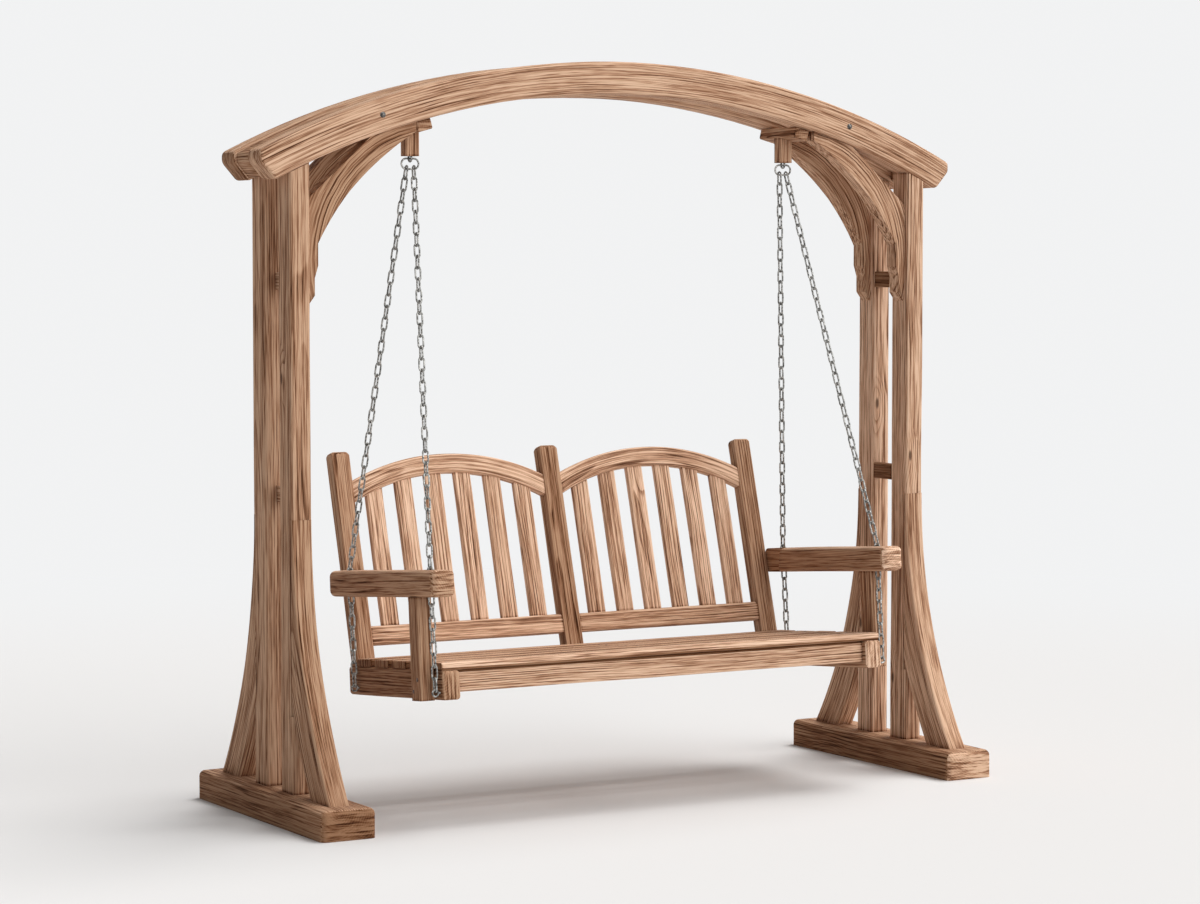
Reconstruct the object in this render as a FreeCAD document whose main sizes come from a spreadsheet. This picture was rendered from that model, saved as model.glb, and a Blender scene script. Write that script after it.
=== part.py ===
import FreeCAD, Part
import math
import os
import re
import Sketcher
from FreeCAD import Placement, Rotation, Vector

# Garden swing seat: a two-place timber bench on four chains, hung under a pair of arched
# beams that stand on twin posts with flared legs. X runs along the bench, Y to the back, Z up,
# and the origin is on the ground at the middle of the stand.

os.makedirs("parts", exist_ok=True)
doc = FreeCAD.newDocument("garden_swing_seat")
sheet = doc.addObject("Spreadsheet::Sheet", "Sizes")

# Driving dimensions in millimetres and degrees
SIZES = {
    # Posts, feet and flared legs
    "bay_width": 2066,
    "post_width": 62,
    "post_depth": 88,
    "post_gap": 95,
    "post_height": 1868,
    "foot_height": 86,
    "foot_width": 168,
    "foot_toe": 62,
    "foot_corner": 17,
    "foot_ease": 11,
    "leg_spread": 240,
    "leg_rise": 784,
    "leg_depth": 108,
    "leg_housing": 14,
    "spacer_height": 50,
    "spacer_width": 24,
    "spacer_inset": 2,
    "upper_spacer_drop": 322,
    "lower_spacer_drop": 934,
    # Tenons of the stand and the room round them in their mortises
    "tenon_thickness": 30,
    "tenon_length": 50,
    "tenon_shoulder": 14,
    "tenon_play": 0.5,
    # Arched beams and the blocks between their ends
    "beam_rise": 232,
    "beam_depth": 96,
    "beam_thickness": 92,
    "beam_overhang": 93,
    "beam_end_drop": 30,
    "beam_end_bevel": 48,
    "end_block_inset": 10,
    # Curved knee braces
    "brace_thickness": 52,
    "brace_setback": 18,
    "brace_tail_drop": 390,
    "brace_tail_rise": 28,
    "brace_tail_lip": 21,
    "brace_tail_thickness": 32,
    "brace_step_drop": 277,
    "brace_step_height": 36,
    "brace_bend_drop": 215,
    "brace_bend_radius": 800,
    "brace_elbow_reach": 133,
    "brace_elbow_drop": 65,
    "brace_arch_radius": 1000,
    "brace_heel_drop": 88,
    "brace_seat_length": 143,
    "brace_tip_depth": 28,
    "brace_tip_gap": 6,
    "brace_tenon_width": 56,
    "brace_tenon_length": 66,
    # Hangers under the beams: rail, block, eye and ring
    "hanger_spacing": 1300,
    "hanger_rail_width": 48,
    "hanger_rail_height": 34,
    "hanger_rail_length": 204,
    "hanger_block_width": 44,
    "hanger_block_depth": 38,
    "hanger_block_drop": 71,
    "hanger_tenon_width": 22,
    "hanger_tenon_depth": 20,
    "hanger_tenon_length": 26,
    "hanger_eye_diameter": 26,
    "hanger_eye_bore": 13,
    "hanger_eye_thickness": 8,
    "hanger_eye_shank": 10,
    "hanger_shank_length": 46,
    "hanger_eye_recess": 7,
    "hanger_recess_width": 27,
    "ring_width": 62,
    "ring_height": 36,
    "ring_wire": 8,
    "ring_bar": 7.4,
    "ring_corner": 12,
    "eye_neck": 2,
    "shank_play": 0.3,
    "running_gap": 0.3,
    # Chains and the eyes that hold them on the seat
    "link_pitch": 34,
    "link_width": 22,
    "link_wire": 5,
    "link_gap": 0.3,
    "chain_split": 24,
    "chain_bore": 28,
    "chain_front_place": 0,
    "chain_back_place": 525,
    "chain_side_gap": 3,
    "seat_eye_diameter": 24,
    "seat_eye_bore": 13,
    "seat_eye_thickness": 6,
    "seat_eye_shank": 8,
    "seat_eye_screw": 36,
    "seat_eye_height": 22,
    # Seat frame and slats
    "seat_clearance": 363,
    "seat_reach": 384.5,
    "seat_tilt": 4.9,
    "bench_width": 1508,
    "seat_rail_height": 84,
    "side_rail_thickness": 58,
    "side_rail_nose": 20,
    "side_rail_heel": 8,
    "front_rail_thickness": 40,
    "front_rail_lift": 20,
    "back_rail_thickness": 52,
    "bearer_width": 44,
    "bearer_lift": 26,
    "rail_tenon_thickness": 18,
    "rail_tenon_height": 24,
    "rail_tenon_length": 26,
    "rail_tenon_lift": 6,
    "seat_slat_width": 92,
    "seat_slat_thickness": 23,
    "seat_slat_overhang": 14,
    "seat_slat_back_gap": 5,
    "seat_slat_end_gap": 2,
    "seat_slat_round": 6,
    # Back: uprights, arched top rails, lower rails and slats
    "back_foot_place": 540,
    "back_lean": 11.0,
    "upright_width": 60,
    "upright_depth": 44,
    "upright_length": 656,
    "upright_inset": 6,
    "upright_ease": 7,
    "upright_tenon_thickness": 28,
    "upright_tenon_depth": 26,
    "upright_tenon_length": 40,
    "back_rail_setback": 4,
    "back_rail_depth": 36,
    "top_rail_crown": 641,
    "top_rail_rise": 76,
    "top_rail_height": 60,
    "lower_rail_bottom": 62,
    "lower_rail_height": 58,
    "back_tenon_height": 28,
    "back_tenon_thickness": 18,
    "back_tenon_length": 22,
    "back_slat_width": 56,
    "back_slat_thickness": 22,
    "back_slat_pitch": 102,
    "back_slat_tenon": 12,
    "back_slat_shoulder": 5,
    # Arms and the posts under their fronts
    "arm_front": 85,
    "arm_back": 600,
    "arm_width": 78,
    "arm_thickness": 76,
    "arm_height": 370,
    "arm_corner": 22,
    "arm_post_place": 24,
    "arm_post_width": 48,
    "arm_post_depth": 64,
    "arm_tenon_shoulder": 10,
    "arm_tenon_length": 34,
}

# Slats in each half of the back and in the seat, and flats round the forged eyes
BACK_SLATS = 6
SEAT_SLATS = 5
EYE_FLAT_COUNT = 12


def underside(across):
    """Height of the beams' under face at a distance from the middle."""
    return f"(beam_middle + sqrt(beam_inner_radius^2 - ({across})^2))"


def upperside(across):
    """Height of the beams' top face at a distance from the middle."""
    return f"(beam_middle + sqrt(beam_outer_radius^2 - ({across})^2))"


# Sizes and places that follow from the driving dimensions
PLACES = {
    "post_inner": "bay_width / 2",
    "post_outer": "bay_width / 2 + post_width",
    "post_middle": "bay_width / 2 + post_width / 2",
    "post_near": "post_gap / 2",
    "post_far": "post_gap / 2 + post_depth",
    "leg_radius": "(leg_rise^2 + leg_spread^2) / (2 * leg_spread)",
    "leg_inner_radius": "leg_radius + leg_depth",
    "leg_top": "foot_height + leg_rise",
    "leg_toe": "post_far + leg_spread",
    "leg_heel": "post_far + leg_radius - sqrt(leg_inner_radius^2 - leg_rise^2)",
    "leg_seat_bottom": "leg_top - sqrt(leg_inner_radius^2 - (leg_radius + leg_housing)^2)",
    "leg_housing_bottom": "leg_top - sqrt(leg_inner_radius^2 - leg_radius^2)",
    "foot_half": "leg_toe + foot_toe",
    "beam_inner_radius": "(post_middle^2 + beam_rise^2) / (2 * beam_rise)",
    "beam_outer_radius": "beam_inner_radius + beam_depth",
    "beam_middle": "post_height + beam_rise - beam_inner_radius",
    "beam_end": "post_outer + beam_overhang",
    "beam_bevel_start": "beam_end - beam_end_bevel",
    "beam_far": "post_near + beam_thickness",
    "hanger_place": "hanger_spacing / 2",
    "hanger_rail_place": "hanger_place / (1 - hanger_rail_height / beam_inner_radius)",
    "hanger_rail_in": "hanger_rail_place - hanger_rail_width / 2",
    "hanger_rail_out": "hanger_rail_place + hanger_rail_width / 2",
    "hanger_rail_in_top": underside("hanger_rail_in"),
    "hanger_rail_out_top": underside("hanger_rail_out"),
    "hanger_rail_slope": "(hanger_rail_out_top - hanger_rail_in_top) / hanger_rail_width",
    "hanger_rail_lean": "hanger_rail_place * hanger_rail_height / beam_inner_radius",
    "hanger_rail_fall": "sqrt(hanger_rail_height^2 - hanger_rail_lean^2)",
    "hanger_rail_under": "(hanger_rail_in_top + hanger_rail_out_top) / 2 - hanger_rail_fall",
    "hanger_block_bottom": "hanger_rail_under - hanger_block_drop",
    "hanger_eye_middle": "hanger_block_bottom + hanger_eye_recess - hanger_eye_diameter / 2",
    "eye_bore_reach": f"hanger_eye_bore / 2 * cos({180 / EYE_FLAT_COUNT})",
    "pivot_height": "hanger_eye_middle - eye_bore_reach + ring_bar / 2 + running_gap",
    "ring_top": "pivot_height + ring_wire / 2",
    "ring_inner_corner": "ring_corner - ring_wire * (2 - sqrt(2))",
    "ring_bottom": "ring_top - ring_height",
    "ring_bar_length": "ring_width - 2 * ring_wire - 2 * ring_inner_corner",
    "brace_near": "post_far - brace_setback - brace_thickness",
    "brace_far": "post_far - brace_setback",
    "brace_middle": "post_far - brace_setback - brace_thickness / 2",
    "brace_tip": "hanger_rail_out + brace_tip_gap",
    "brace_seat": "brace_tip + brace_seat_length",
    "brace_tenon": "brace_seat - brace_tenon_width / 2 - tenon_play",
    "brace_tenon_top": "beam_middle + sqrt((beam_inner_radius + brace_tenon_length)^2 - brace_tenon^2)",
    "bench_half": "bench_width / 2",
    "side_rail_inner": "bench_half - side_rail_thickness",
    "chain_place": "bench_half + link_width / 2 + chain_side_gap",
    "upright_outer": "bench_half - upright_inset",
    "upright_place": "upright_outer - upright_width / 2",
    "panel_middle": "upright_place / 2",
    "panel_half": "(upright_place - upright_width) / 2",
    "upright_foot_depth": "upright_depth / cos(back_lean)",
    "side_rail_end": "back_foot_place + upright_foot_depth + side_rail_heel",
    "back_rail_place": "back_foot_place + upright_foot_depth / 2 - back_rail_thickness / 2",
    "top_rail_radius": "(panel_half^2 + top_rail_rise^2) / (2 * top_rail_rise)",
    "top_rail_inner_radius": "top_rail_radius - top_rail_height",
    "top_rail_middle": "top_rail_crown - top_rail_radius",
    "top_rail_end": "top_rail_crown - top_rail_rise",
    "top_rail_end_under": "top_rail_middle + sqrt(top_rail_inner_radius^2 - panel_half^2)",
    "lower_rail_top": "lower_rail_bottom + lower_rail_height",
    "back_slat_place": "back_rail_setback + (back_rail_depth - back_slat_thickness) / 2",
    "back_tenon_place": "back_rail_setback + (back_rail_depth - back_tenon_thickness) / 2",
    "seat_eye_bore_reach": f"seat_eye_bore / 2 * cos({180 / EYE_FLAT_COUNT})",
    "seat_eye_hook": "sqrt(seat_eye_bore_reach^2 - (link_wire / 2)^2) - link_gap",
    "arm_bottom": "arm_height - arm_thickness",
    "arm_inner": "chain_place - arm_width / 2",
    "arm_outer": "chain_place + arm_width / 2",
    "arm_post_end": "arm_post_place + arm_post_depth",
    "arm_post_outer": "bench_half + arm_post_width",
}

for row, (alias, number) in enumerate(SIZES.items(), start=1):
    sheet.set(f"A{row}", str(number))
    sheet.setAlias(f"A{row}", alias)
for row, (alias, formula) in enumerate(PLACES.items(), start=1):
    sheet.set(f"B{row}", "=" + formula)
    sheet.setAlias(f"B{row}", alias)
doc.recompute()

NAMES = set(SIZES) | set(PLACES)


def bind(item, field, formula):
    """Tie a property to a formula of named sizes."""
    tied = re.sub(r"[a-z_]+", lambda word: f"Sizes.{word[0]}" if word[0] in NAMES else word[0], formula)
    item.setExpression(field, tied)


def size(formula):
    """Present value of a formula of named sizes."""
    return float(sheet.evalExpression(formula))


# The tilted seat and the leaning back each have a frame of their own
seat_frame = doc.addObject("App::Placement", "seat_frame")
bind(seat_frame, "Placement",
     "placement(vector(0; -seat_reach; seat_clearance); rotation(vector(1; 0; 0); -seat_tilt))")
back_frame = doc.addObject("App::Placement", "back_frame")
bind(back_frame, "Placement",
     "seat_frame.Placement * placement(vector(0; back_foot_place; seat_rail_height);"
     " rotation(vector(1; 0; 0); -back_lean))")
doc.recompute()

finished = []


def new_body(label, frame=None, keep=True):
    """Start a piece, in the stand's frame or in one of the bench's frames."""
    body = doc.addObject("PartDesign::Body", label)
    body.Label = label
    if frame:
        body.setExpression("Placement", f"{frame.Name}.Placement")
    if keep:
        finished.append(body)
    return body


def block(body, low, high, kind="Additive"):
    """Box between two corners that are given as formulas."""
    box = body.newObject(f"PartDesign::{kind}Box", "block")
    for side, axis, start, end in zip(("Length", "Width", "Height"), "xyz", low, high):
        bind(box, side, f"({end}) - ({start})")
        bind(box, f"Placement.Base.{axis}", start)
    return box


AXIS_TURNS = {
    "x": Rotation(Vector(0, 1, 0), 90),
    "y": Rotation(Vector(1, 0, 0), -90),
    "z": Rotation(),
}


def rod(body, axis, start, length, diameter, kind="Additive"):
    """Cylinder from a start point along one axis."""
    cylinder = body.newObject(f"PartDesign::{kind}Cylinder", "rod")
    cylinder.Placement = Placement(Vector(), AXIS_TURNS[axis])
    for name, formula in zip("xyz", start):
        bind(cylinder, f"Placement.Base.{name}", formula)
    bind(cylinder, "Radius", f"({diameter}) / 2")
    bind(cylinder, "Height", length)
    return cylinder


def bar(body, axis, start, length, diameter, kind="Additive"):
    """Many-sided bar from a start point along one axis."""
    form = body.newObject(f"PartDesign::{kind}Prism", "bar")
    form.Polygon = EYE_FLAT_COUNT
    form.Placement = Placement(Vector(), AXIS_TURNS[axis])
    for name, formula in zip("xyz", start):
        bind(form, f"Placement.Base.{name}", formula)
    bind(form, "Circumradius", f"({diameter}) / 2")
    bind(form, "Height", length)
    return form


def arc_between(start, end, radius, turn):
    """Arc from start to end that turns left (1) or right (-1)."""
    chord = end - start
    apothem = math.sqrt(radius**2 - chord.Length**2 / 4)
    left = Vector(-chord.y, chord.x, 0).normalize()
    centre = (start + end) * 0.5 + left * (turn * apothem)
    ends = (start, end) if turn > 0 else (end, start)
    angles = [math.atan2(point.y - centre.y, point.x - centre.x) for point in ends]
    return Part.ArcOfCircle(Part.Circle(centre, Vector(0, 0, 1), radius), *angles)


def profile(body, plane, corners, bows, level):
    """Closed outline on an origin plane, with arcs where bows gives a radius and a turn."""
    sketch = body.newObject("Sketcher::SketchObject", "profile")
    origin_plane = next(item for item in body.Origin.OriginFeatures if item.Role == plane)
    sketch.AttachmentSupport = [(origin_plane, "")]
    sketch.MapMode = "FlatFace"
    bind(sketch, "AttachmentOffset.Base.z", level)
    points = [Vector(size(across), size(up), 0) for across, up in corners]
    count = len(points)
    starts = []
    for edge in range(count):
        radius, turn = bows.get(edge, ("0", 0))
        start, end = points[edge], points[(edge + 1) % count]
        line = arc_between(start, end, size(radius), turn) if turn else Part.LineSegment(start, end)
        sketch.addGeometry(line)
        starts.append(1 if turn >= 0 else 2)
    for edge in range(count):
        following = (edge + 1) % count
        joint = Sketcher.Constraint("Coincident", edge, 3 - starts[edge], following, starts[following])
        sketch.addConstraint(joint)
        for kind, formula in zip(("DistanceX", "DistanceY"), corners[edge]):
            rule = Sketcher.Constraint(kind, -1, 1, edge, starts[edge], size(formula))
            number = sketch.addConstraint(rule)
            bind(sketch, f"Constraints[{number}]", formula)
        if edge in bows:
            radius = bows[edge][0]
            number = sketch.addConstraint(Sketcher.Constraint("Radius", edge, size(radius)))
            bind(sketch, f"Constraints[{number}]", radius)
    return sketch


def prism(body, plane, corners, low, high, bows=None):
    """Outline on the XZ or YZ plane, padded from one level to another across it."""
    level = f"-({high})" if plane == "XZ_Plane" else low
    pad = body.newObject("PartDesign::Pad", "prism")
    pad.Profile = profile(body, plane, corners, bows or {}, level)
    bind(pad, "Length", f"({high}) - ({low})")
    body.Tip = pad
    return pad


def ease(body, kind, amount, chosen):
    """Fillet or chamfer the edges of the finished form that chosen picks."""
    doc.recompute()
    base = body.Tip
    edges = [f"Edge{number}" for number, edge in enumerate(base.Shape.Edges, start=1) if chosen(edge)]
    feature = body.newObject(f"PartDesign::{kind}", "ease")
    feature.Base = (base, edges)
    bind(feature, "Radius" if kind == "Fillet" else "Size", amount)
    return feature


def runs_along(edge, axis):
    """Whether an edge is straight and parallel to an axis."""
    straight = edge.Curve.TypeId == "Part::GeomLine"
    return straight and abs(edge.tangentAt(edge.FirstParameter).dot(axis)) > 0.999


def lies_at(edge, axis, level):
    """Whether every end of an edge has one coordinate."""
    return all(abs(vertex.Point.dot(axis) - level) < 0.01 for vertex in edge.Vertexes)


ALONG_X = Vector(1, 0, 0)
ALONG_Y = Vector(0, 1, 0)
ALONG_Z = Vector(0, 0, 1)
SIDES = {"left": -1, "right": 1}
ENDS = {"front": -1, "back": 1}


def span(sign, near, far):
    """Low and high formulas of a stretch from near to far on one side of the middle."""
    return (near, far) if sign > 0 else (f"-({far})", f"-({near})")


def around(middle, width):
    """Low and high formulas of a stretch about a middle."""
    return f"({middle}) - ({width}) / 2", f"({middle}) + ({width}) / 2"


def signed(sign, formula):
    """Formula on one side of the middle."""
    return formula if sign > 0 else f"-({formula})"


def corner_boxes(*stretches):
    """Low and high corners from three stretches."""
    return tuple(zip(*stretches))


# Feet: thick sills with rounded corners, mortised for the posts and the legs
for side, sign in SIDES.items():
    foot = new_body(f"{side}_foot")
    across = around(signed(sign, "post_middle"), "foot_width")
    block(foot, *corner_boxes(across, ("-foot_half", "foot_half"), ("0", "foot_height")))
    ease(foot, "Fillet", "foot_corner", lambda edge: runs_along(edge, ALONG_Z))
    ease(foot, "Chamfer", "foot_ease", lambda edge: lies_at(edge, ALONG_Z, size("foot_height")))
    tenon_across = around(signed(sign, "post_middle"), "tenon_thickness + 2 * tenon_play")
    tenon_up = ("foot_height - tenon_length - tenon_play", "foot_height")
    for end_sign in ENDS.values():
        post_along = span(end_sign, "post_near + tenon_shoulder - tenon_play",
                          "post_far - tenon_shoulder + tenon_play")
        leg_along = span(end_sign, "leg_heel + tenon_shoulder - tenon_play",
                         "leg_toe - tenon_shoulder + tenon_play")
        block(foot, *corner_boxes(tenon_across, post_along, tenon_up), kind="Subtractive")
        block(foot, *corner_boxes(tenon_across, leg_along, tenon_up), kind="Subtractive")

# Posts: tenoned into the foot and the beam, with a shallow housing for the leg
for side, sign in SIDES.items():
    for end, end_sign in ENDS.items():
        post = new_body(f"{side}_{end}_post")
        post_corners = [
            (signed(sign, "post_inner"), "foot_height"),
            (signed(sign, "post_outer"), "foot_height"),
            (signed(sign, "post_outer"), underside("post_outer")),
            (signed(sign, "post_inner"), underside("post_inner")),
        ]
        prism(post, "XZ_Plane", post_corners, *span(end_sign, "post_near", "post_far"))
        tenon_across = around(signed(sign, "post_middle"), "tenon_thickness")
        tenon_along = span(end_sign, "post_near + tenon_shoulder", "post_far - tenon_shoulder")
        foot_tenon = ("foot_height - tenon_length", "foot_height + tenon_shoulder")
        beam_tenon = (f"{underside('post_outer')} - tenon_shoulder", "post_height + tenon_length")
        block(post, *corner_boxes(tenon_across, tenon_along, foot_tenon))
        block(post, *corner_boxes(tenon_across, tenon_along, beam_tenon))
        housing = corner_boxes(span(sign, "post_inner", "post_outer"),
                               span(end_sign, "post_far - leg_housing", "post_far"),
                               ("leg_housing_bottom", "leg_top"))
        block(post, *housing, kind="Subtractive")

# Legs: curved boards that spread from the posts to the ends of the feet
for side, sign in SIDES.items():
    for end, end_sign in ENDS.items():
        leg = new_body(f"{side}_{end}_leg")
        leg_corners = [
            (signed(end_sign, "post_far - leg_housing"), "leg_top"),
            (signed(end_sign, "post_far"), "leg_top"),
            (signed(end_sign, "leg_toe"), "foot_height"),
            (signed(end_sign, "leg_heel"), "foot_height"),
            (signed(end_sign, "post_far - leg_housing"), "leg_seat_bottom"),
        ]
        leg_bows = {1: ("leg_radius", end_sign), 3: ("leg_inner_radius", -end_sign)}
        prism(leg, "YZ_Plane", leg_corners, *span(sign, "post_inner", "post_outer"), bows=leg_bows)
        tenon_box = corner_boxes(around(signed(sign, "post_middle"), "tenon_thickness"),
                                 span(end_sign, "leg_heel + tenon_shoulder", "leg_toe - tenon_shoulder"),
                                 ("foot_height - tenon_length", "foot_height + tenon_play"))
        block(leg, *tenon_box)

# Spacers that hold each pair of posts apart
for side, sign in SIDES.items():
    for level in ("upper", "lower"):
        spacer = new_body(f"{side}_{level}_spacer")
        across = span(sign, "post_inner + spacer_inset", "post_inner + spacer_inset + spacer_width")
        up = around(f"post_height - {level}_spacer_drop", "spacer_height")
        block(spacer, *corner_boxes(across, ("-post_near", "post_near"), up))

# Arched beams: one on the front posts and one on the back posts
for end, end_sign in ENDS.items():
    beam = new_body(f"{end}_beam")
    tip_drop = f"{upperside('beam_end')} - beam_end_drop"
    beam_corners = [
        ("-beam_end", upperside("beam_end")),
        ("beam_end", upperside("beam_end")),
        ("beam_end", tip_drop),
        ("beam_bevel_start", underside("beam_bevel_start")),
        ("-beam_bevel_start", underside("beam_bevel_start")),
        ("-beam_end", tip_drop),
    ]
    beam_bows = {0: ("beam_outer_radius", -1), 3: ("beam_inner_radius", 1)}
    prism(beam, "XZ_Plane", beam_corners, *span(end_sign, "post_near", "beam_far"), bows=beam_bows)
    for sign in SIDES.values():
        post_mortise = corner_boxes(
            around(signed(sign, "post_middle"), "tenon_thickness + 2 * tenon_play"),
            span(end_sign, "post_near + tenon_shoulder - tenon_play",
                 "post_far - tenon_shoulder + tenon_play"),
            (f"{underside('post_outer')} - tenon_shoulder", "post_height + tenon_length + tenon_play"))
        brace_mortise = corner_boxes(
            around(signed(sign, "brace_tenon"), "brace_tenon_width + 2 * tenon_play"),
            around(signed(end_sign, "brace_middle"), "tenon_thickness + 2 * tenon_play"),
            (f"{underside('brace_seat')} - tenon_shoulder", "brace_tenon_top + tenon_play"))
        block(beam, *post_mortise, kind="Subtractive")
        block(beam, *brace_mortise, kind="Subtractive")

# Blocks that close the gap between the beams at each end
for side, sign in SIDES.items():
    end_block = new_body(f"{side}_beam_block")
    tip = "beam_end - end_block_inset"
    block_corners = [
        (signed(sign, "post_outer"), f"{underside('post_outer')} + end_block_inset"),
        (signed(sign, "beam_bevel_start"), f"{underside('beam_bevel_start')} + end_block_inset"),
        (signed(sign, tip), f"{upperside('beam_end')} - beam_end_drop"),
        (signed(sign, tip), f"{upperside(tip)} - end_block_inset"),
        (signed(sign, "post_outer"), f"{upperside('post_outer')} - end_block_inset"),
    ]
    prism(end_block, "XZ_Plane", block_corners, "-post_near", "post_near")

# Knee braces: curved inside, with a stepped tail down the post, tenoned up into the beam
for side, sign in SIDES.items():
    for end, end_sign in ENDS.items():
        brace = new_body(f"{side}_{end}_brace")
        brace_corners = [
            ("post_inner", "post_height - brace_tail_drop"),
            ("post_inner", "post_height - brace_heel_drop"),
            ("brace_seat", underside("brace_seat")),
            ("brace_tip", underside("brace_tip")),
            ("brace_tip", f"{underside('brace_tip')} - brace_tip_depth"),
            ("post_inner - brace_elbow_reach", "post_height - brace_elbow_drop"),
            ("post_inner - brace_tail_thickness", "post_height - brace_bend_drop"),
            ("post_inner - brace_tail_thickness", "post_height - brace_step_drop"),
            ("post_inner - brace_tail_lip", "post_height - brace_step_drop - brace_step_height"),
            ("post_inner - brace_tail_lip", "post_height - brace_tail_drop + brace_tail_rise"),
        ]
        brace_bows = {4: ("brace_arch_radius", -sign), 5: ("brace_bend_radius", -sign)}
        prism(brace, "XZ_Plane", [(signed(sign, across), up) for across, up in brace_corners],
              *span(end_sign, "brace_near", "brace_far"), bows=brace_bows)
        tenon_along = around(signed(end_sign, "brace_middle"), "tenon_thickness")
        tenon_box = corner_boxes(around(signed(sign, "brace_tenon"), "brace_tenon_width"), tenon_along,
                                 (f"{underside('brace_seat')} - tenon_shoulder",
                                  "brace_tenon_top"))
        block(brace, *tenon_box)

# Hanger rails: square-edged rails that seat under both beams, square to the arch
hanger_half = "hanger_rail_length / 2"
for side, sign in SIDES.items():
    rail = new_body(f"{side}_hanger_rail")
    rail_corners = [
        ("hanger_rail_in", "hanger_rail_in_top"),
        ("hanger_rail_in - hanger_rail_lean", "hanger_rail_in_top - hanger_rail_fall"),
        ("hanger_rail_out - hanger_rail_lean", "hanger_rail_out_top - hanger_rail_fall"),
        ("hanger_rail_out", "hanger_rail_out_top"),
    ]
    prism(rail, "XZ_Plane", [(signed(sign, across), up) for across, up in rail_corners],
          f"-{hanger_half}", hanger_half)
    mortise = corner_boxes(around(signed(sign, "hanger_place"), "hanger_tenon_width + 2 * tenon_play"),
                           around("0", "hanger_tenon_depth + 2 * tenon_play"),
                           ("hanger_rail_under - hanger_tenon_length",
                            "hanger_rail_under + hanger_tenon_length + tenon_play"))
    block(rail, *mortise, kind="Subtractive")

# Hanger blocks: tenoned up into the rails, bored for the eyes
for side, sign in SIDES.items():
    hanger = new_body(f"{side}_hanger_block")
    rise = "hanger_rail_slope * hanger_block_width / 2"
    hanger_corners = [
        ("hanger_place - hanger_block_width / 2", "hanger_block_bottom"),
        ("hanger_place + hanger_block_width / 2", "hanger_block_bottom"),
        ("hanger_place + hanger_block_width / 2", f"hanger_rail_under + {rise}"),
        ("hanger_place - hanger_block_width / 2", f"hanger_rail_under - {rise}"),
    ]
    prism(hanger, "XZ_Plane", [(signed(sign, across), up) for across, up in hanger_corners],
          *around("0", "hanger_block_depth"))
    tenon_box = corner_boxes(around(signed(sign, "hanger_place"), "hanger_tenon_width"),
                             around("0", "hanger_tenon_depth"),
                             ("hanger_rail_under - hanger_tenon_length",
                              "hanger_rail_under + hanger_tenon_length"))
    block(hanger, *tenon_box)
    rod(hanger, "z", (signed(sign, "hanger_place"), "0", "hanger_block_bottom"),
        "hanger_shank_length + shank_play", "hanger_eye_shank + 2 * shank_play", kind="Subtractive")
    rod(hanger, "z", (signed(sign, "hanger_place"), "0", "hanger_block_bottom"),
        "hanger_eye_recess", "hanger_recess_width", kind="Subtractive")

# Eye bolts screwed up into the hanger blocks and let into them a little
eyes = []
for side, sign in SIDES.items():
    eye = new_body(f"{side}_hanger_eye", keep=False)
    disc_start = (f"{signed(sign, 'hanger_place')} - hanger_eye_thickness / 2", "0", "hanger_eye_middle")
    bar(eye, "x", disc_start, "hanger_eye_thickness", "hanger_eye_diameter")
    shank_start = (signed(sign, "hanger_place"), "0", "hanger_eye_middle + hanger_eye_bore / 2 + eye_neck")
    bar(eye, "z", shank_start, f"hanger_block_bottom + hanger_shank_length - ({shank_start[2]})",
        "hanger_eye_shank")
    bar(eye, "x", disc_start, "hanger_eye_thickness", "hanger_eye_bore", kind="Subtractive")
    eyes.append(eye)
hanger_eyes = doc.addObject("Part::Compound", "hanger_eyes")
hanger_eyes.Links = eyes
finished.append(hanger_eyes)

# Rings that turn in the eyes and carry the chains
rings = []
for side, sign in SIDES.items():
    ring = new_body(f"{side}_hanger_ring", keep=False)
    wire_along = around("0", "ring_wire")
    block(ring, *corner_boxes(around(signed(sign, "hanger_place"), "ring_width"), wire_along,
                              ("ring_bottom", "ring_top")))
    ease(ring, "Chamfer", "ring_corner", lambda edge: runs_along(edge, ALONG_Y))
    block(ring, *corner_boxes(around(signed(sign, "hanger_place"), "ring_width - 2 * ring_wire"), wire_along,
                              ("ring_bottom + ring_wire", "ring_top - ring_wire")), kind="Subtractive")
    inner_half = size("ring_width / 2 - ring_wire")
    middle = size(signed(sign, "hanger_place"))
    ease(ring, "Chamfer", "ring_inner_corner", lambda edge: runs_along(edge, ALONG_Y)
         and abs(abs(edge.Vertexes[0].X - middle) - inner_half) < 0.01)
    bar_across = around(signed(sign, "hanger_place"), "ring_bar_length")
    block(ring, *corner_boxes(bar_across, wire_along, ("ring_top - ring_wire", "ring_top")),
          kind="Subtractive")
    rod(ring, "x", (bar_across[0], "0", "pivot_height"), "ring_bar_length", "ring_bar")
    rings.append(ring)
hanger_rings = doc.addObject("Part::Compound", "hanger_rings")
hanger_rings.Links = rings
finished.append(hanger_rings)

# Uprights of the back: leaning, standing on the seat frame with stub tenons
UPRIGHTS = {"left": "-upright_place", "centre": "0", "right": "upright_place"}


def back_point(along, up):
    """Point given from the uprights' foot in the seat's frame, in the back's own frame."""
    return (f"({along}) * cos(back_lean) - ({up}) * sin(back_lean)",
            f"({along}) * sin(back_lean) + ({up}) * cos(back_lean)")


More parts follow.
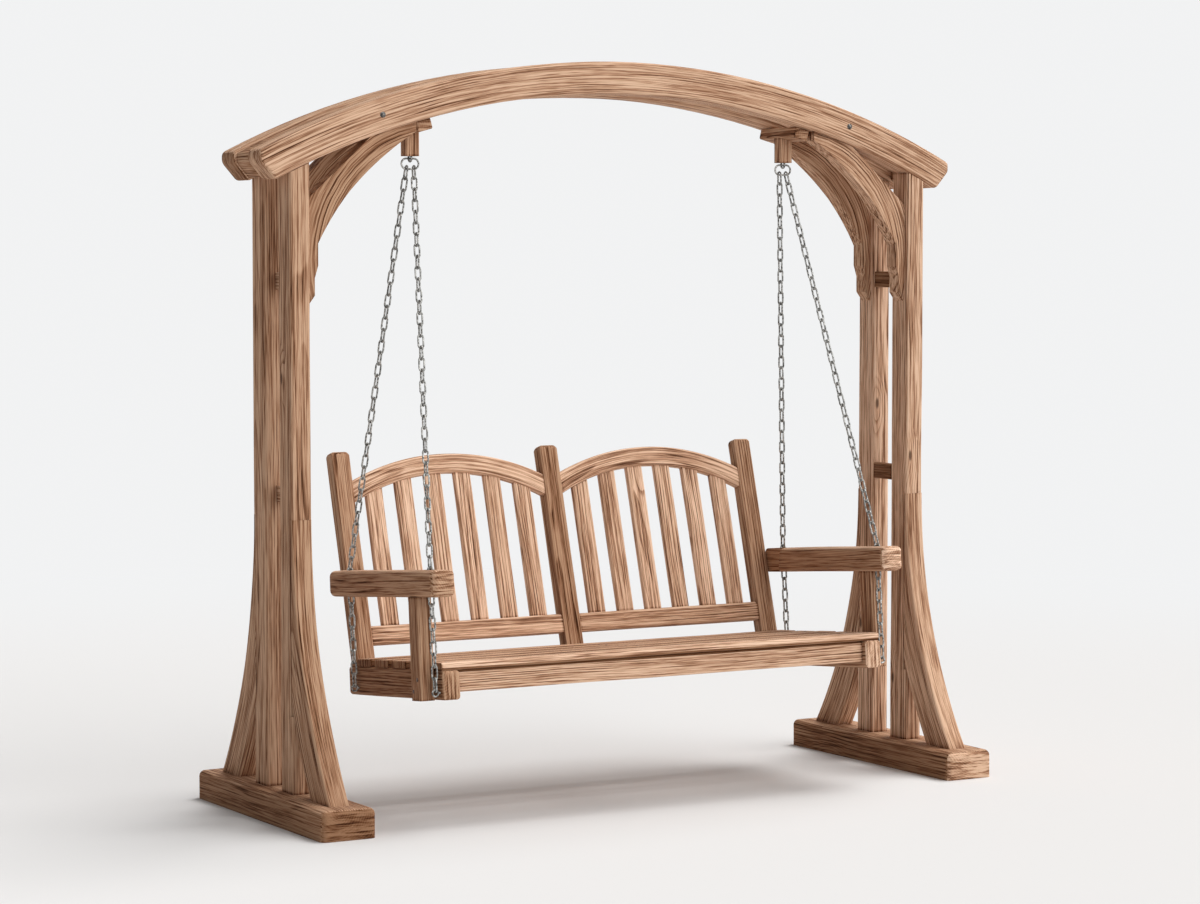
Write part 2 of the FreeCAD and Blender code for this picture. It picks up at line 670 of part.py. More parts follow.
tenon_start = "(upright_foot_depth - upright_tenon_depth) / 2"
tenon_end = "(upright_foot_depth + upright_tenon_depth) / 2"
for name, place in UPRIGHTS.items():
    upright = new_body(f"{name}_upright", back_frame)
    upright_corners = [
        ("0", "0"),
        back_point("upright_foot_depth", "0"),
        ("upright_depth", "upright_length"),
        ("0", "upright_length"),
    ]
    prism(upright, "YZ_Plane", upright_corners, *around(place, "upright_width"))
    ease(upright, "Chamfer", "upright_ease", lambda edge: lies_at(edge, ALONG_Z, size("upright_length")))
    tenon_corners = [
        back_point(tenon_start, "-upright_tenon_length"),
        back_point(tenon_end, "-upright_tenon_length"),
        back_point(tenon_end, "tenon_play"),
        back_point(tenon_start, "tenon_play"),
    ]
    prism(upright, "YZ_Plane", tenon_corners, *around(place, "upright_tenon_thickness"))
    for sign in SIDES.values():
        face = f"({place}) + {sign} * upright_width / 2"
        if abs(size(face)) > size("upright_place"):
            continue
        depth = span(sign, "-back_tenon_length - tenon_play", "0")
        across = tuple(f"({face}) + ({edge})" for edge in depth)
        along = ("back_tenon_place - tenon_play", "back_tenon_place + back_tenon_thickness + tenon_play")
        for middle in ("(lower_rail_bottom + lower_rail_top) / 2", "(top_rail_end + top_rail_end_under) / 2"):
            up = around(middle, "back_tenon_height + 2 * tenon_play")
            block(upright, *corner_boxes(across, along, up), kind="Subtractive")


def rail_arc(place):
    """Height of the top rail's under face at a distance from the middle of its panel."""
    return f"(top_rail_middle + sqrt(top_rail_inner_radius^2 - ({place})^2))"


slat_steps = [f"{number - (BACK_SLATS - 1) / 2} * back_slat_pitch" for number in range(BACK_SLATS)]
rail_along = ("back_rail_setback", "back_rail_setback + back_rail_depth")
slat_along = ("back_slat_place", "back_slat_place + back_slat_thickness")
slat_tenon_along = ("back_slat_place + back_slat_shoulder",
                    "back_slat_place + back_slat_thickness - back_slat_shoulder")
slat_mortise_along = (f"{slat_tenon_along[0]} - tenon_play", f"{slat_tenon_along[1]} + tenon_play")
slat_tenon_width = "back_slat_width - 2 * back_slat_shoulder"


def add_end_tenons(rail, panel, middle):
    """Stub tenons on both ends of a rail of the back."""
    along = ("back_tenon_place", "back_tenon_place + back_tenon_thickness")
    up = around(middle, "back_tenon_height")
    for sign in SIDES.values():
        depth = span(sign, "panel_half - back_tenon_length", "panel_half + back_tenon_length")
        across = tuple(f"({panel}) + ({edge})" for edge in depth)
        block(rail, *corner_boxes(across, along, up))


# Rails and slats of the two back panels
for side, sign in SIDES.items():
    panel = signed(sign, "panel_middle")
    top_rail = new_body(f"{side}_top_rail", back_frame)
    rail_in = f"({panel}) - panel_half"
    rail_out = f"({panel}) + panel_half"
    top_corners = [
        (rail_in, "top_rail_end"),
        (rail_out, "top_rail_end"),
        (rail_out, "top_rail_end_under"),
        (rail_in, "top_rail_end_under"),
    ]
    top_bows = {0: ("top_rail_radius", -1), 2: ("top_rail_inner_radius", 1)}
    prism(top_rail, "XZ_Plane", top_corners, *rail_along, bows=top_bows)
    add_end_tenons(top_rail, panel, "(top_rail_end + top_rail_end_under) / 2")
    lower_rail = new_body(f"{side}_lower_rail", back_frame)
    block(lower_rail, *corner_boxes((rail_in, rail_out), rail_along, ("lower_rail_bottom", "lower_rail_top")))
    add_end_tenons(lower_rail, panel, "(lower_rail_bottom + lower_rail_top) / 2")
    slats = []
    for number, step in enumerate(slat_steps, start=1):
        place = f"({panel}) + ({step})"
        mortise_across = around(place, f"{slat_tenon_width} + 2 * tenon_play")
        top_up = (f"{rail_arc(step)} - back_slat_width", f"{rail_arc(step)} + back_slat_tenon + tenon_play")
        low_up = ("lower_rail_top - back_slat_tenon - tenon_play", "lower_rail_top")
        block(top_rail, *corner_boxes(mortise_across, slat_mortise_along, top_up), kind="Subtractive")
        block(lower_rail, *corner_boxes(mortise_across, slat_mortise_along, low_up), kind="Subtractive")
        slat = new_body(f"{side}_back_slat_{number}", back_frame, keep=False)
        slat_in, slat_out = around(place, "back_slat_width")
        step_in, step_out = around(step, "back_slat_width")
        slat_corners = [
            (slat_in, "lower_rail_top"),
            (slat_out, "lower_rail_top"),
            (slat_out, rail_arc(step_out)),
            (slat_in, rail_arc(step_in)),
        ]
        prism(slat, "XZ_Plane", slat_corners, *slat_along)
        tenon_up = ("lower_rail_top - back_slat_tenon", f"{rail_arc(step)} + back_slat_tenon")
        block(slat, *corner_boxes(around(place, slat_tenon_width), slat_tenon_along, tenon_up))
        slats.append(slat)
    slat_set = doc.addObject("Part::Compound", f"{side}_back_slats")
    slat_set.Links = slats
    finished.append(slat_set)

# Side rails of the seat: they carry the uprights, and the chains' eyes screw into them
eye_places = {"front": "chain_front_place", "back": "chain_back_place"}
front_tenon_along = around("front_rail_thickness / 2", "rail_tenon_thickness")
back_tenon_along = around("back_rail_place + back_rail_thickness / 2", "rail_tenon_thickness")
back_tenon_up = ("rail_tenon_lift", "rail_tenon_lift + rail_tenon_height")
front_tenon_up = tuple(f"front_rail_lift + {edge}" for edge in back_tenon_up)


def roomy(stretch):
    """Stretch widened by the play of a mortise."""
    return f"{stretch[0]} - tenon_play", f"{stretch[1]} + tenon_play"


upright_mortise_along = roomy((f"back_foot_place + {tenon_start}", f"back_foot_place + {tenon_end}"))
upright_mortise_up = ("seat_rail_height - upright_tenon_length - tenon_play", "seat_rail_height")
for side, sign in SIDES.items():
    side_rail = new_body(f"{side}_side_rail", seat_frame)
    block(side_rail, *corner_boxes(span(sign, "side_rail_inner", "bench_half"),
                                   ("-side_rail_nose", "side_rail_end"), ("0", "seat_rail_height")))
    tenon_across = span(sign, "side_rail_inner", "side_rail_inner + rail_tenon_length + tenon_play")
    for tenon_along, tenon_up in ((front_tenon_along, front_tenon_up), (back_tenon_along, back_tenon_up)):
        block(side_rail, *corner_boxes(tenon_across, roomy(tenon_along), roomy(tenon_up)),
              kind="Subtractive")
    mortise_across = around(signed(sign, "upright_place"), "upright_tenon_thickness + 2 * tenon_play")
    block(side_rail, *corner_boxes(mortise_across, upright_mortise_along, upright_mortise_up),
          kind="Subtractive")
    screw_across = span(sign, "bench_half - seat_eye_screw - shank_play", "bench_half")
    for place in eye_places.values():
        rod(side_rail, "x", (screw_across[0], place, "seat_eye_height"), "seat_eye_screw + shank_play",
            "seat_eye_shank + 2 * shank_play", kind="Subtractive")

# Front and back rails, tenoned into the side rails, and the bearer between them
rail_across = ("-side_rail_inner", "side_rail_inner")
tenons_across = ("-side_rail_inner - rail_tenon_length", "side_rail_inner + rail_tenon_length")
front_rail = new_body("front_rail", seat_frame)
block(front_rail, *corner_boxes(rail_across, ("0", "front_rail_thickness"),
                                ("front_rail_lift", "seat_rail_height")))
block(front_rail, *corner_boxes(tenons_across, front_tenon_along, front_tenon_up))
back_rail = new_body("back_rail", seat_frame)
block(back_rail, *corner_boxes(rail_across, ("back_rail_place", "back_rail_place + back_rail_thickness"),
                               ("0", "seat_rail_height")))
block(back_rail, *corner_boxes(tenons_across, back_tenon_along, back_tenon_up))
block(back_rail, *corner_boxes(around("0", "upright_tenon_thickness + 2 * tenon_play"), upright_mortise_along,
                               upright_mortise_up), kind="Subtractive")
bearer = new_body("centre_bearer", seat_frame)
block(bearer, *corner_boxes(around("0", "bearer_width"), ("front_rail_thickness", "back_rail_place"),
                            ("bearer_lift", "seat_rail_height")))

# Seat slats, from the rounded front one to the one before the back
slat_end = "bench_half - seat_slat_end_gap"
slat_room = "back_foot_place - seat_slat_back_gap + seat_slat_overhang - seat_slat_width"
for number in range(SEAT_SLATS):
    seat_slat = new_body("front_seat_slat" if number == 0 else f"seat_slat_{number + 1}", seat_frame)
    start = f"{number / (SEAT_SLATS - 1)} * ({slat_room}) - seat_slat_overhang"
    along = (start, f"{start} + seat_slat_width")
    slat_top = "seat_rail_height + seat_slat_thickness"
    block(seat_slat, *corner_boxes((f"-({slat_end})", slat_end), along, ("seat_rail_height", slat_top)))
    ease(seat_slat, "Fillet", "seat_slat_round",
         lambda edge: runs_along(edge, ALONG_X) and lies_at(edge, ALONG_Z, size(slat_top)))

# Arms: bored for the chains and notched round the uprights
for side, sign in SIDES.items():
    arm = new_body(f"{side}_arm", seat_frame)
    block(arm, *corner_boxes(span(sign, "arm_inner", "arm_outer"), ("-arm_front", "arm_back"),
                             ("arm_bottom", "arm_height")))
    ease(arm, "Fillet", "arm_corner",
         lambda edge: runs_along(edge, ALONG_Z) and lies_at(edge, ALONG_Y, -size("arm_front")))
    notch = block(arm, *corner_boxes(span(sign, "arm_inner", "upright_outer"),
                                     ("back_foot_place", "back_foot_place + arm_back"),
                                     ("seat_rail_height", "seat_rail_height + 2 * arm_height")),
                  kind="Subtractive")
    notch.Placement = Placement(notch.Placement.Base, Rotation(ALONG_X, -1))
    bind(notch, "Placement.Rotation.Angle", "back_lean")
    for place in eye_places.values():
        rod(arm, "z", (signed(sign, "chain_place"), place, "arm_bottom"), "arm_thickness", "chain_bore",
            kind="Subtractive")
    tenon_across = span(sign, "bench_half + arm_tenon_shoulder", "arm_post_outer - arm_tenon_shoulder")
    tenon_along = ("arm_post_place + arm_tenon_shoulder", "arm_post_end - arm_tenon_shoulder")
    mortise_up = ("arm_bottom", "arm_bottom + arm_tenon_length + tenon_play")
    block(arm, *corner_boxes(roomy(tenon_across), roomy(tenon_along), mortise_up), kind="Subtractive")
    arm_post = new_body(f"{side}_arm_post", seat_frame)
    block(arm_post, *corner_boxes(span(sign, "bench_half", "arm_post_outer"),
                                  ("arm_post_place", "arm_post_end"), ("0", "arm_bottom")))
    block(arm_post, *corner_boxes(tenon_across, tenon_along, ("arm_bottom", "arm_bottom + arm_tenon_length")))

# Eye screws in the side rails, one under each chain
seat_eyes = []
for side, sign in SIDES.items():
    for end, place in eye_places.items():
        eye = new_body(f"{side}_{end}_seat_eye", seat_frame, keep=False)
        disc_start = (signed(sign, "chain_place"), f"{place} - seat_eye_thickness / 2", "seat_eye_height")
        screw_across = span(sign, "bench_half - seat_eye_screw", "chain_place - seat_eye_bore / 2 - link_gap")
        bar(eye, "y", disc_start, "seat_eye_thickness", "seat_eye_diameter")
        bar(eye, "x", (screw_across[0], place, "seat_eye_height"), f"{screw_across[1]} - ({screw_across[0]})",
            "seat_eye_shank")
        bar(eye, "y", disc_start, "seat_eye_thickness", "seat_eye_bore", kind="Subtractive")
        seat_eyes.append(eye)
chain_eyes = doc.addObject("Part::Compound", "chain_eyes")
chain_eyes.Links = seat_eyes
finished.append(chain_eyes)
doc.recompute()


# Chains: flat-sided links, each turned a quarter turn from the last
def link_form(inner_length):
    """One link about its middle, long along Z and flat across X."""
    wire = size("link_wire")
    width = size("link_width")
    hole_width = width - 2 * wire
    length = inner_length + 2 * wire
    outer = Part.makeBox(wire, width, length, Vector(-wire / 2, -width / 2, -length / 2))
    hole = Part.makeBox(wire, hole_width, inner_length, Vector(-wire / 2, -hole_width / 2, -inner_length / 2))
    return outer.cut(hole)


def hang_links(start, end, count, first):
    """Links along a straight run, whose numbers start from first."""
    run = end - start
    pitch = run.Length / count
    form = link_form(pitch + size("link_gap"))
    down = run.normalize()
    across = (ALONG_X - down * ALONG_X.dot(down)).normalize()
    other = down.cross(across)
    links = []
    for number in range(count):
        flat = across if (first + number) % 2 == 0 else other
        link = form.copy()
        turn = Rotation(flat, down.cross(flat), down, "ZXY")
        link.Placement = Placement(start + down * ((number + 0.5) * pitch), turn)
        links.append(link)
    return links


chain_counts = {}
for side, sign in SIDES.items():
    for end, end_sign in ENDS.items():
        place = size(eye_places[end])
        split = -end_sign * size("chain_split") / 2
        ring_bar = Vector(sign * size("hanger_place") + split, 0, size("ring_bottom + ring_wire / 2"))
        bend_seat = Vector(sign * size("chain_place"), place, size("arm_height + link_wire"))
        eye_seat = Vector(sign * size("chain_place"), place, size("seat_eye_height + seat_eye_hook"))
        bend = seat_frame.Placement.multVec(bend_seat)
        eye_top = seat_frame.Placement.multVec(eye_seat)
        upper = (bend - ring_bar).normalize()
        lower = (eye_top - bend).normalize()
        slack = size("link_wire") * math.tan(upper.getAngle(lower) / 2)
        ring_reach = size("ring_wire / 2") * (abs(upper.y) + abs(upper.z))
        ring_reach += size("link_wire / 2") * abs(upper.x)
        ring_hook = ring_reach + size("running_gap - link_gap / 2")
        upper_run = (ring_bar - upper * ring_hook, bend + upper * slack)
        lower_run = (bend - lower * slack, eye_top - lower * size("link_gap / 2"))
        upper_count = round((upper_run[1] - upper_run[0]).Length / size("link_pitch"))
        lower_count = round((lower_run[1] - lower_run[0]).Length / size("link_pitch"))
        upper_count += (upper_count + lower_count + 1) % 2
        links = hang_links(*upper_run, upper_count, 0) + hang_links(*lower_run, lower_count, upper_count)
        chain = doc.addObject("Part::Feature", f"{side}_{end}_chain")
        chain.Shape = Part.makeCompound(links)
        chain_counts[chain.Label] = len(links)
        finished.append(chain)
doc.recompute()

failed = [item.Label for item in doc.Objects if {"Invalid", "Error"} & set(item.State)]
empty = [item.Label for item in finished if item.Shape.isNull() or not item.Shape.isValid()]
if failed or empty:
    raise RuntimeError(f"not built: {failed} {empty}")
for item in finished:
    item.Shape.exportStep(f"parts/{item.Label}.step")
print(len(finished), "pieces or groups,", sum(len(item.Shape.Solids) for item in finished), "solids")
print("links", chain_counts)
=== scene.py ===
import bmesh
import bpy
import math
import random
from mathutils import Matrix, Vector, noise


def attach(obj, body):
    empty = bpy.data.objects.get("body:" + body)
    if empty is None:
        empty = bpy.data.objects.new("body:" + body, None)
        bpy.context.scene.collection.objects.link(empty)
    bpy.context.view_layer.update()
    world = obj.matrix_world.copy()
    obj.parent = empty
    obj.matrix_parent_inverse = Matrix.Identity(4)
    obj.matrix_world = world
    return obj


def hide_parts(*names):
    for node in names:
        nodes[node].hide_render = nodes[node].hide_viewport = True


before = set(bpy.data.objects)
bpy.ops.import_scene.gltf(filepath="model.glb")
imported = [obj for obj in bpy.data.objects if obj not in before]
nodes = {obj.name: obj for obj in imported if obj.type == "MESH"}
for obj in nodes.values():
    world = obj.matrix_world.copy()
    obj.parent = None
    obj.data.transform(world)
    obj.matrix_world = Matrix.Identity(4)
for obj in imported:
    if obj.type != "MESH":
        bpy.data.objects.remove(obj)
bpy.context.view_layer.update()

# Feet: two thick cedar sills that lie front to back on the ground, sawn square and then
# rounded at the corners and along the top. The posts and legs are tenoned into them.
X, Y, Z = Vector((1, 0, 0)), Vector((0, 1, 0)), Vector((0, 0, 1))
foot_rounding = 0.018
# Painted light and shade: the feet are toned dark, their tops lighter, and the right foot's front end far
# lighter than the left's, as lit from above and from the right.
foot_top_painted_light = 1.6
foot_tones_and_painted_light = {"left": (0.49, 0.82), "right": (0.44, 1.95)}
pale_cedar = (0.860, 0.600, 0.430)
light_cedar = (0.590, 0.350, 0.225)
brown_cedar = (0.300, 0.150, 0.085)
dark_cedar = (0.075, 0.032, 0.018)
knot_cedar = (0.050, 0.022, 0.012)
timber_seed = 71
board_draw = random.Random(timber_seed)
noise.seed_set(timber_seed)


def cedar_finish(name, pale, light, brown, dark, knot_brown):
    """Oiled cedar: growth rings about a pith outside the board, streaks, fibres and knots.
    Each board carries its own grain coordinates, so the figure runs along it and shows on its ends.
    The scales of a figure are per metre: along the board, across it and through it."""
    finish = bpy.data.materials.new(name)
    finish.use_nodes = True
    tree = finish.node_tree
    shader = tree.nodes["Principled BSDF"]

    def add(kind, *inputs, **settings):
        made = tree.nodes.new("ShaderNode" + kind)
        for key, value in settings.items():
            setattr(made, key, value)
        for number, value in enumerate(inputs):
            if isinstance(value, bpy.types.NodeSocket):
                tree.links.new(value, made.inputs[number])
            else:
                made.inputs[number].default_value = value
        return made

    def calc(operation, *inputs, clamp=False):
        return add("Math", *inputs, operation=operation, use_clamp=clamp).outputs[0]

    def plus(first, second):
        return calc("ADD", first, second)

    def less(first, second):
        return calc("SUBTRACT", first, second)

    def times(first, second):
        return calc("MULTIPLY", first, second)

    def size_of(value):
        return calc("ABSOLUTE", value)

    def step(value, low, high, start=0.0, end=1.0):
        return add("MapRange", value, low, high, start, end, interpolation_type="SMOOTHSTEP").outputs[0]

    def carried(title):
        return add("Attribute", attribute_name=title).outputs

    def parts(vector):
        return add("SeparateXYZ", vector).outputs

    grain, stock, girth = [parts(carried(title)["Vector"]) for title in ("grain", "stock", "girth")]
    end_grain = carried("end_grain")["Fac"]
    side_grain = less(1.0, end_grain)
    board_spacing = 9.7
    place = [plus(grain[0], times(stock[2], board_spacing)), grain[1], grain[2]]

    def figure(kind, scales, **settings):
        at = add("CombineXYZ", *[times(value, scale) for value, scale in zip(place, scales)])
        made = add(kind)
        tree.links.new(at.outputs[0], made.inputs["Vector"])
        made.inputs["Scale"].default_value = 1.0
        for key, value in settings.items():
            made.inputs[key].default_value = value
        return made.outputs

    # growth rings, which waver along the board and swell round the knots
    rings_per_metre, ring_waver, ring_swell = 140.0, 0.06, 2.0
    waver = parts(figure("TexNoise", (0.9, 7, 7), Detail=2.0, Roughness=0.5)["Color"])
    off_pith = [plus(less(grain[1 + axis], stock[axis]), times(less(waver[axis], 0.5), ring_waver))
                for axis in (0, 1)]
    radius = calc("SQRT", plus(*[times(away, away) for away in off_pith]))
    knots = figure("TexVoronoi", (4.2, 12, 12))
    rare = step(parts(knots["Color"])[0], 0.84, 0.86)
    knot = times(step(knots["Distance"], 0.04, 0.10, 1.0, 0.0), rare)
    swell = times(step(knots["Distance"], 0.05, 0.50, 1.0, 0.0), rare)
    rings = calc("FRACT", plus(times(radius, rings_per_metre), times(swell, ring_swell)))
    late_wood = times(step(rings, 0.45, 0.90), step(rings, 0.92, 1.0, 1.0, 0.0))
    strength = step(figure("TexNoise", (2.2, 24, 24), Detail=2.0)[0], 0.32, 0.62, 0.25, 1.0)
    lines = times(late_wood, strength)

    # darker streaks and fine fibres along the grain, saw marks on the ends, and broad patches
    line_share, streak_share, fibre_share, usual_fibre = 0.34, 0.42, 0.30, 0.32
    end_line_share, saw_share, usual_saw = 0.16, 0.76, 0.1
    patch_share = 0.13
    patches = step(figure("TexNoise", (1.3, 13, 13), Detail=2.0)[0], 0.30, 0.70)
    streaks = step(figure("TexNoise", (3.2, 150, 150), Detail=4.0, Roughness=0.70)[0], 0.39, 0.62)
    fibres = step(figure("TexNoise", (9, 360, 360), Detail=2.0, Roughness=0.6)[0], 0.37, 0.63)
    saw_marks = step(figure("TexNoise", (40, 9, 130), Detail=4.0, Roughness=0.7)[0], 0.36, 0.66)
    side_shade = plus(times(lines, line_share), times(streaks, streak_share))
    side_shade = plus(side_shade, times(less(fibres, usual_fibre), fibre_share))
    end_shade = plus(times(lines, end_line_share), times(less(saw_marks, usual_saw), saw_share))
    shade = plus(times(side_shade, side_grain), times(end_shade, end_grain))
    shade = plus(shade, times(patches, patch_share))

    # painted shade darkens the boards at their joints, worn corners go pale
    joint_shade_share, worn_share = 0.20, 0.08
    joint_shade = step(size_of(less(girth[2], size_of(grain[0]))), 0.008, 0.001)
    corner = calc("MAXIMUM", less(girth[0], size_of(grain[1])), less(girth[1], size_of(grain[2])))
    worn = step(corner, 0.001, 0.012, 1.0, 0.0)
    shade = less(shade, times(worn, worn_share))
    shade = calc("ADD", shade, times(times(joint_shade, side_grain), joint_shade_share), clamp=True)

    # the shade picks the colour, each board has its own tone, which also carries painted light and shade, and
    # the deeper tones are redder, a painted warmth of light bounced into shade
    ramp = add("ValToRGB", shade)
    stops = ramp.color_ramp.elements
    stops[0].position = 0.14
    stops[0].color = (*pale, 1)
    stops[1].position = 0.92
    stops[1].color = (*dark, 1)
    stops.new(0.43).color = (*light, 1)
    stops.new(0.66).color = (*brown, 1)
    lot = step(calc("FRACT", times(stock[2], 37.3)), 0, 1, 0.93, 1.06)
    tone = times(carried("tone")["Fac"], lot)
    tint = add("CombineXYZ", *[calc("POWER", tone, power) for power in (1.0, 1.25, 1.5)])
    toned = add("Mix", data_type="RGBA", blend_type="MULTIPLY")
    toned.inputs["Factor"].default_value = 1.0
    tree.links.new(ramp.outputs[0], toned.inputs["A"])
    tree.links.new(tint.outputs[0], toned.inputs["B"])
    knotted = add("Mix", data_type="RGBA")
    tree.links.new(times(knot, 0.8), knotted.inputs["Factor"])
    tree.links.new(toned.outputs["Result"], knotted.inputs["A"])
    knotted.inputs["B"].default_value = (*knot_brown, 1)
    tree.links.new(knotted.outputs["Result"], shader.inputs["Base Color"])

    # dull oil, a little rougher in the dark grain, which also lies lower
    tree.links.new(plus(0.52, times(shade, 0.22)), shader.inputs["Roughness"])
    shader.inputs["Specular IOR Level"].default_value = 0.03
    bump = add("Bump")
    bump.invert = True
    bump.inputs["Strength"].default_value = 0.55
    bump.inputs["Distance"].default_value = 0.0018
    tree.links.new(plus(times(streaks, 0.6), times(lines, 0.4)), bump.inputs["Height"])
    tree.links.new(bump.outputs[0], shader.inputs["Normal"])
    return finish


cedar = cedar_finish("oiled_cedar", pale_cedar, light_cedar, brown_cedar, dark_cedar, knot_cedar)


class Grain:
    """The way a board's grain runs: straight, or round a centre in a bent board.
    A bend is a centre and a radius, and across then points from the centre to the board's middle."""

    def __init__(self, along, across, bend):
        self.along = along
        self.across = across
        self.deep = along.cross(across)
        self.bend = bend
        self.centre, self.radius = bend or (Vector(), 1.0)

    def place(self, point):
        """How far a point lies along the board, across it and through it."""
        if not self.bend:
            return Vector((point.dot(self.along), point.dot(self.across), point.dot(self.deep)))
        arm = point - self.centre
        out, on = arm.dot(self.across), arm.dot(self.along)
        turn = math.atan2(on, out)
        return Vector((turn * self.radius, math.hypot(on, out) - self.radius, arm.dot(self.deep)))

    def run(self, at):
        """The grain's direction at a distance along the board."""
        if not self.bend:
            return self.along
        turn = at / self.radius
        return self.along * math.cos(turn) - self.across * math.sin(turn)


def plain_mesh(piece):
    """The piece's mesh with its modifiers applied, which are then taken off the piece."""
    made = bpy.data.meshes.new_from_object(piece.evaluated_get(bpy.context.evaluated_depsgraph_get()))
    piece.modifiers.clear()
    return made


def cut_across(form, point, way):
    """New edges where a plane passes through a mesh."""
    everything = form.verts[:] + form.edges[:] + form.faces[:]
    bmesh.ops.bisect_plane(form, geom=everything, plane_co=point, plane_no=way)


def loose_solids(form):
    """Vertices of each separate solid in a mesh, in the order in which they were made."""
    waiting = set(form.verts)
    solids = []
    for first in form.verts:
        if first not in waiting:
            continue
        waiting.discard(first)
        reached, solid = [first], []
        while reached:
            vertex = reached.pop()
            solid.append(vertex)
            for edge in vertex.link_edges:
                other = edge.other_vert(vertex)
                if other in waiting:
                    waiting.discard(other)
                    reached.append(other)
        solids.append(solid)
    return solids


def corner_box(points):
    """Lowest and highest corners of some points."""
    return [Vector([pick(point[axis] for point in points) for axis in range(3)]) for pick in (min, max)]


def eased_piece(name, grain, soften, end_share, rounded):
    """A copy of the solids with the long outer edges worn round, and those at the ends by a share of that.
    The edges of tenons and housings stay sharp, and so do a rounded board's, which is drawn in later."""
    merge_reach, flat_angle = 1e-5, math.radians(0.4)
    inner_corner, outer_corner = -0.15, 0.49
    nearly_along = 0.8
    form = bmesh.new()
    form.from_mesh(nodes[name].data)
    bmesh.ops.remove_doubles(form, verts=form.verts, dist=merge_reach)
    bmesh.ops.dissolve_limit(form, angle_limit=flat_angle, verts=form.verts, edges=form.edges)
    jointed = {face for edge in form.edges if edge.calc_face_angle_signed() < inner_corner
               for face in edge.link_faces}
    wear = form.edges.layers.float.new("bevel_weight_edge")
    for edge in form.edges:
        if rounded or edge.calc_face_angle_signed() <= outer_corner or jointed.intersection(edge.link_faces):
            continue
        start, end = (vertex.co for vertex in edge.verts)
        run = grain.run(grain.place((start + end) / 2)[0])
        edge[wear] = 1.0 if abs((end - start).normalized().dot(run)) > nearly_along else end_share
    shaped = bpy.data.meshes.new(name + "_timber")
    form.to_mesh(shaped)
    form.free()
    piece = bpy.data.objects.new(name + "_timber", shaped)
    bpy.context.scene.collection.objects.link(piece)
    easing = piece.modifiers.new("easing", "BEVEL")
    easing.width = soften
    easing.segments = 4
    easing.limit_method = "WEIGHT"
    return piece


def draw_board(solid, places, grain, soften, shoulders, rounded, carry):
    """One board out of the stock: its pith, its grain coordinates and its girth, which the cedar reads.
    Its faces waver a little, as hand-worn ones do, and a rounded board is drawn in at its edges and corners.
    With shoulders, the board's length is counted between its joints, where the cedar paints shade."""
    waver_scale, waver_depth, waver_shift = (3.2, 7, 7), 0.0014, 50
    ground, ground_edge = 0.001, 0.04
    low, high = corner_box([places[vertex.index] for vertex in solid])
    middle, half = (low + high) / 2, (high - low) / 2
    flat = half - Vector((soften, soften, soften))
    full = [places[vertex.index][0] for vertex in solid
            if all(abs(places[vertex.index][axis] - middle[axis]) > 0.7 * half[axis] for axis in (1, 2))]
    if not shoulders:
        half[0] += 1.0
    elif full:
        middle[0], half[0] = (max(full) + min(full)) / 2, (max(full) - min(full)) / 2
    draw = board_draw.random()
    pith_turn = board_draw.uniform(0, 6.3)
    pith_out = board_draw.uniform(0.05, 0.13)
    for vertex in solid:
        at = places[vertex.index]
        carry["grain"][vertex.index] = at - middle
        carry["stock"][vertex.index] = (pith_out * math.cos(pith_turn), pith_out * math.sin(pith_turn), draw)
        carry["girth"][vertex.index] = (half[1], half[2], half[0])
        if rounded:
            off = at - middle
            out = Vector([off[axis] - min(max(off[axis], -flat[axis]), flat[axis]) for axis in range(3)])
            if vertex.co.z < ground_edge:
                out[2] = 0.0
            drawn = out * (min(soften / out.length, 1.0) - 1.0) if out.length else out
            vertex.co += grain.along * drawn[0] + grain.across * drawn[1] + grain.deep * drawn[2]
        if vertex.co.z > ground:
            spot = Vector([at[axis] * waver_scale[axis] for axis in range(3)]) + X * (draw * waver_shift)
            waver = noise.noise_vector(spot) * waver_depth
            vertex.co += grain.across * waver[0] + grain.deep * waver[1]


